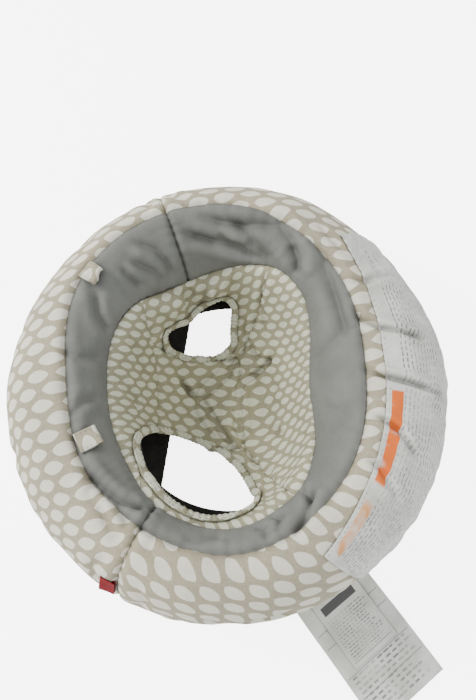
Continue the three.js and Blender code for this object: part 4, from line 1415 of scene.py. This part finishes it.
class SEAT_OT_floor_labels(bpy.types.Operator):
    """Builds the two cloth labels that lie out on the floor"""

    bl_idname = "seat.floor_labels"
    bl_label = "Floor labels"

    def execute(self, context):
        look = settings()
        root = np.array([204.35, 90.98, 0]) * MM
        ahead = np.array([0.829, 0.559, 0])
        across = np.array([-0.559, 0.829, 0])
        bar, dark = (0.10, 0.10, 0.10), (0.22, 0.22, 0.22)
        lines = tuple((y * MM, (y + 0.7) * MM, -0.044, 0.044, dark) for y in (10, 58, 74, 110, 134))
        kinds = (
            (
                "law_label", "law_flap", 95, 165, 0.8, 1.5, 61,
                label_paper(
                    "law_label_finish", rows=(0.112, 0.160, 5.4 * MM, 2.0 * MM, -0.040, 0.044), words=9 * MM,
                    rules=lines,
                ),
            ),
            (
                "care_label", "care_flap", 61, 108, 2.4, 1.2, 62,
                label_paper(
                    "care_label_finish", rows=(0.053, 0.100, 3.3 * MM, 1.1 * MM, -0.026, 0.028), words=5 * MM,
                    rules=(
                        (37 * MM, 47 * MM, -0.024, 0.022, bar),
                        (26.5 * MM, 27.2 * MM, -0.027, 0.027, dark),
                        (102 * MM, 102.7 * MM, -0.027, 0.027, dark),
                    ),
                ),
            ),
        )
        for name, body, width, length, rest, wave, seed, paper in kinds:
            b = np.linspace(-width / 2, width / 2, 70)[None, :]
            x = np.linspace(0, length, 120)[:, None]
            place = root + ahead * (x * MM)[..., None] + across * (b * MM)[..., None]
            soft = value_noise(place, 45 * MM, seed) + 0.5 * value_noise(place, 18 * MM, seed + 3)
            fine = 0.22 * value_noise(place, 6 * MM, seed + 6)
            edge = np.minimum((width / 2 - np.abs(b)) / 10, 1)
            rise = wave * look.crinkle * (0.6 + 0.6 * soft) * (1.15 - 0.3 * edge)
            lift = rise * np.clip(x / 30, 0, 1) + fine
            height = rest + np.maximum(lift, 0) + 0.5
            place = place + np.array([0, 0, 1.0]) * (height * MM)[..., None]
            sway = 0.5 * MM * value_noise(place, 50 * MM, seed + 9)
            place = place + across * sway[..., None]
            coords = np.stack(np.broadcast_arrays(b * MM, x * MM), -1)
            label = cloth(name + "_cloth", place, coords, paper, thickness=0.4 * MM, inward=False)
            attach(label, body)
            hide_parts(name)
        return {"FINISHED"}


class SEAT_OT_stage(bpy.types.Operator):
    """Sets up the pale floor, the soft lights and the camera"""

    bl_idname = "seat.stage"
    bl_label = "Stage"

    def execute(self, context):
        n = Nodes("studio_floor")
        grain = n.noise(n.coords("Object"), 3, 2.0)
        colour = n.mix(grain, (0.86, 0.86, 0.855, 1), (0.90, 0.90, 0.895, 1))
        material = n.finish(colour, None, 0.75, specular=0.1)
        n.shader.inputs["Emission Color"].default_value = (1, 1, 1, 1)
        seen = n.add("ShaderNodeLightPath").outputs["Is Camera Ray"]
        glow = n.math("ADD", 0.5, n.math("MULTIPLY", seen, 5.0))
        n.link(glow, n.shader.inputs["Emission Strength"])
        size = 5.0
        corners = [(-size, -size, 0), (size, -size, 0), (size, size, 0), (-size, size, 0)]
        floor = mesh_object("floor", corners, [(0, 1, 2, 3)], None, material, smooth=False)

        world = context.scene.world or bpy.data.worlds.new("studio")
        context.scene.world = world
        world.use_nodes = True
        back = next(node for node in world.node_tree.nodes if node.type == "BACKGROUND")
        back.inputs["Color"].default_value = (0.95, 0.97, 1.0, 1)
        back.inputs["Strength"].default_value = 0.95
        lights = (
            ("key_light", (-0.5, -1.5, 1.5), 0.8, 42.0, (1.0, 0.985, 0.96)),
            ("fill_light", (1.2, 1.2, 1.7), 1.8, 4.0, (0.96, 0.98, 1.0)),
        )
        for name, place, width, power, tone in lights:
            light = bpy.data.lights.new(name, "AREA")
            light.shape = "SQUARE"
            light.size = width
            light.energy = power
            light.color = tone
            lamp = bpy.data.objects.new(name, light)
            lamp.location = place
            aim = Vector((0, 0, 0.05)) - Vector(place)
            lamp.rotation_euler = aim.to_track_quat("-Z", "Y").to_euler()
            context.scene.collection.objects.link(lamp)

        camera = bpy.data.cameras.new("camera")
        camera.lens = 26
        camera.sensor_width = 36
        tilt, roll = 18.2 * DEGREE, -3.4 * DEGREE
        ahead = Vector((-math.sin(tilt), 0, -math.cos(tilt)))
        up0 = Vector((-math.cos(tilt), 0, math.sin(tilt)))
        right0 = Vector((0, 1, 0))
        right = right0 * math.cos(roll) + up0 * math.sin(roll)
        up = up0 * math.cos(roll) - right0 * math.sin(roll)
        view = bpy.data.objects.new("camera", camera)
        turn = Matrix((right, up, -ahead)).transposed().to_4x4()
        view.matrix_world = Matrix.Translation((0.141, 0.0154, 0.652)) @ turn
        context.scene.collection.objects.link(view)
        context.scene.camera = view
        return {"FINISHED"}


OPERATORS = (
    SEAT_OT_stage,
    SEAT_OT_stuffing,
    SEAT_OT_covers,
    SEAT_OT_lining,
    SEAT_OT_sling,
    SEAT_OT_hems,
    SEAT_OT_toy_loops,
    SEAT_OT_side_tag,
    SEAT_OT_back_label,
    SEAT_OT_floor_labels,
)


class SEAT_PT_builder(bpy.types.Panel):
    """Lists the settings and the pieces of the support seat"""

    bl_idname = "SEAT_PT_builder"
    bl_label = "Floor Support Seat"
    bl_space_type = "VIEW_3D"
    bl_region_type = "UI"
    bl_category = "Seat"

    def draw(self, context):
        column = self.layout.column(align=True)
        for key in SupportSeatSettings.__annotations__:
            column.prop(context.scene.support_seat, key)
        for operator in OPERATORS:
            self.layout.operator(operator.bl_idname)


CLASSES = (SupportSeatSettings, *OPERATORS, SEAT_PT_builder)


def register():
    for item in CLASSES:
        bpy.utils.register_class(item)
    bpy.types.Scene.support_seat = PointerProperty(type=SupportSeatSettings)


def unregister():
    del bpy.types.Scene.support_seat
    for item in reversed(CLASSES):
        bpy.utils.unregister_class(item)


def main():
    register()
    for operator in OPERATORS:
        group, name = operator.bl_idname.split(".")
        getattr(getattr(bpy.ops, group), name)()


if __name__ == "__main__":
    main()
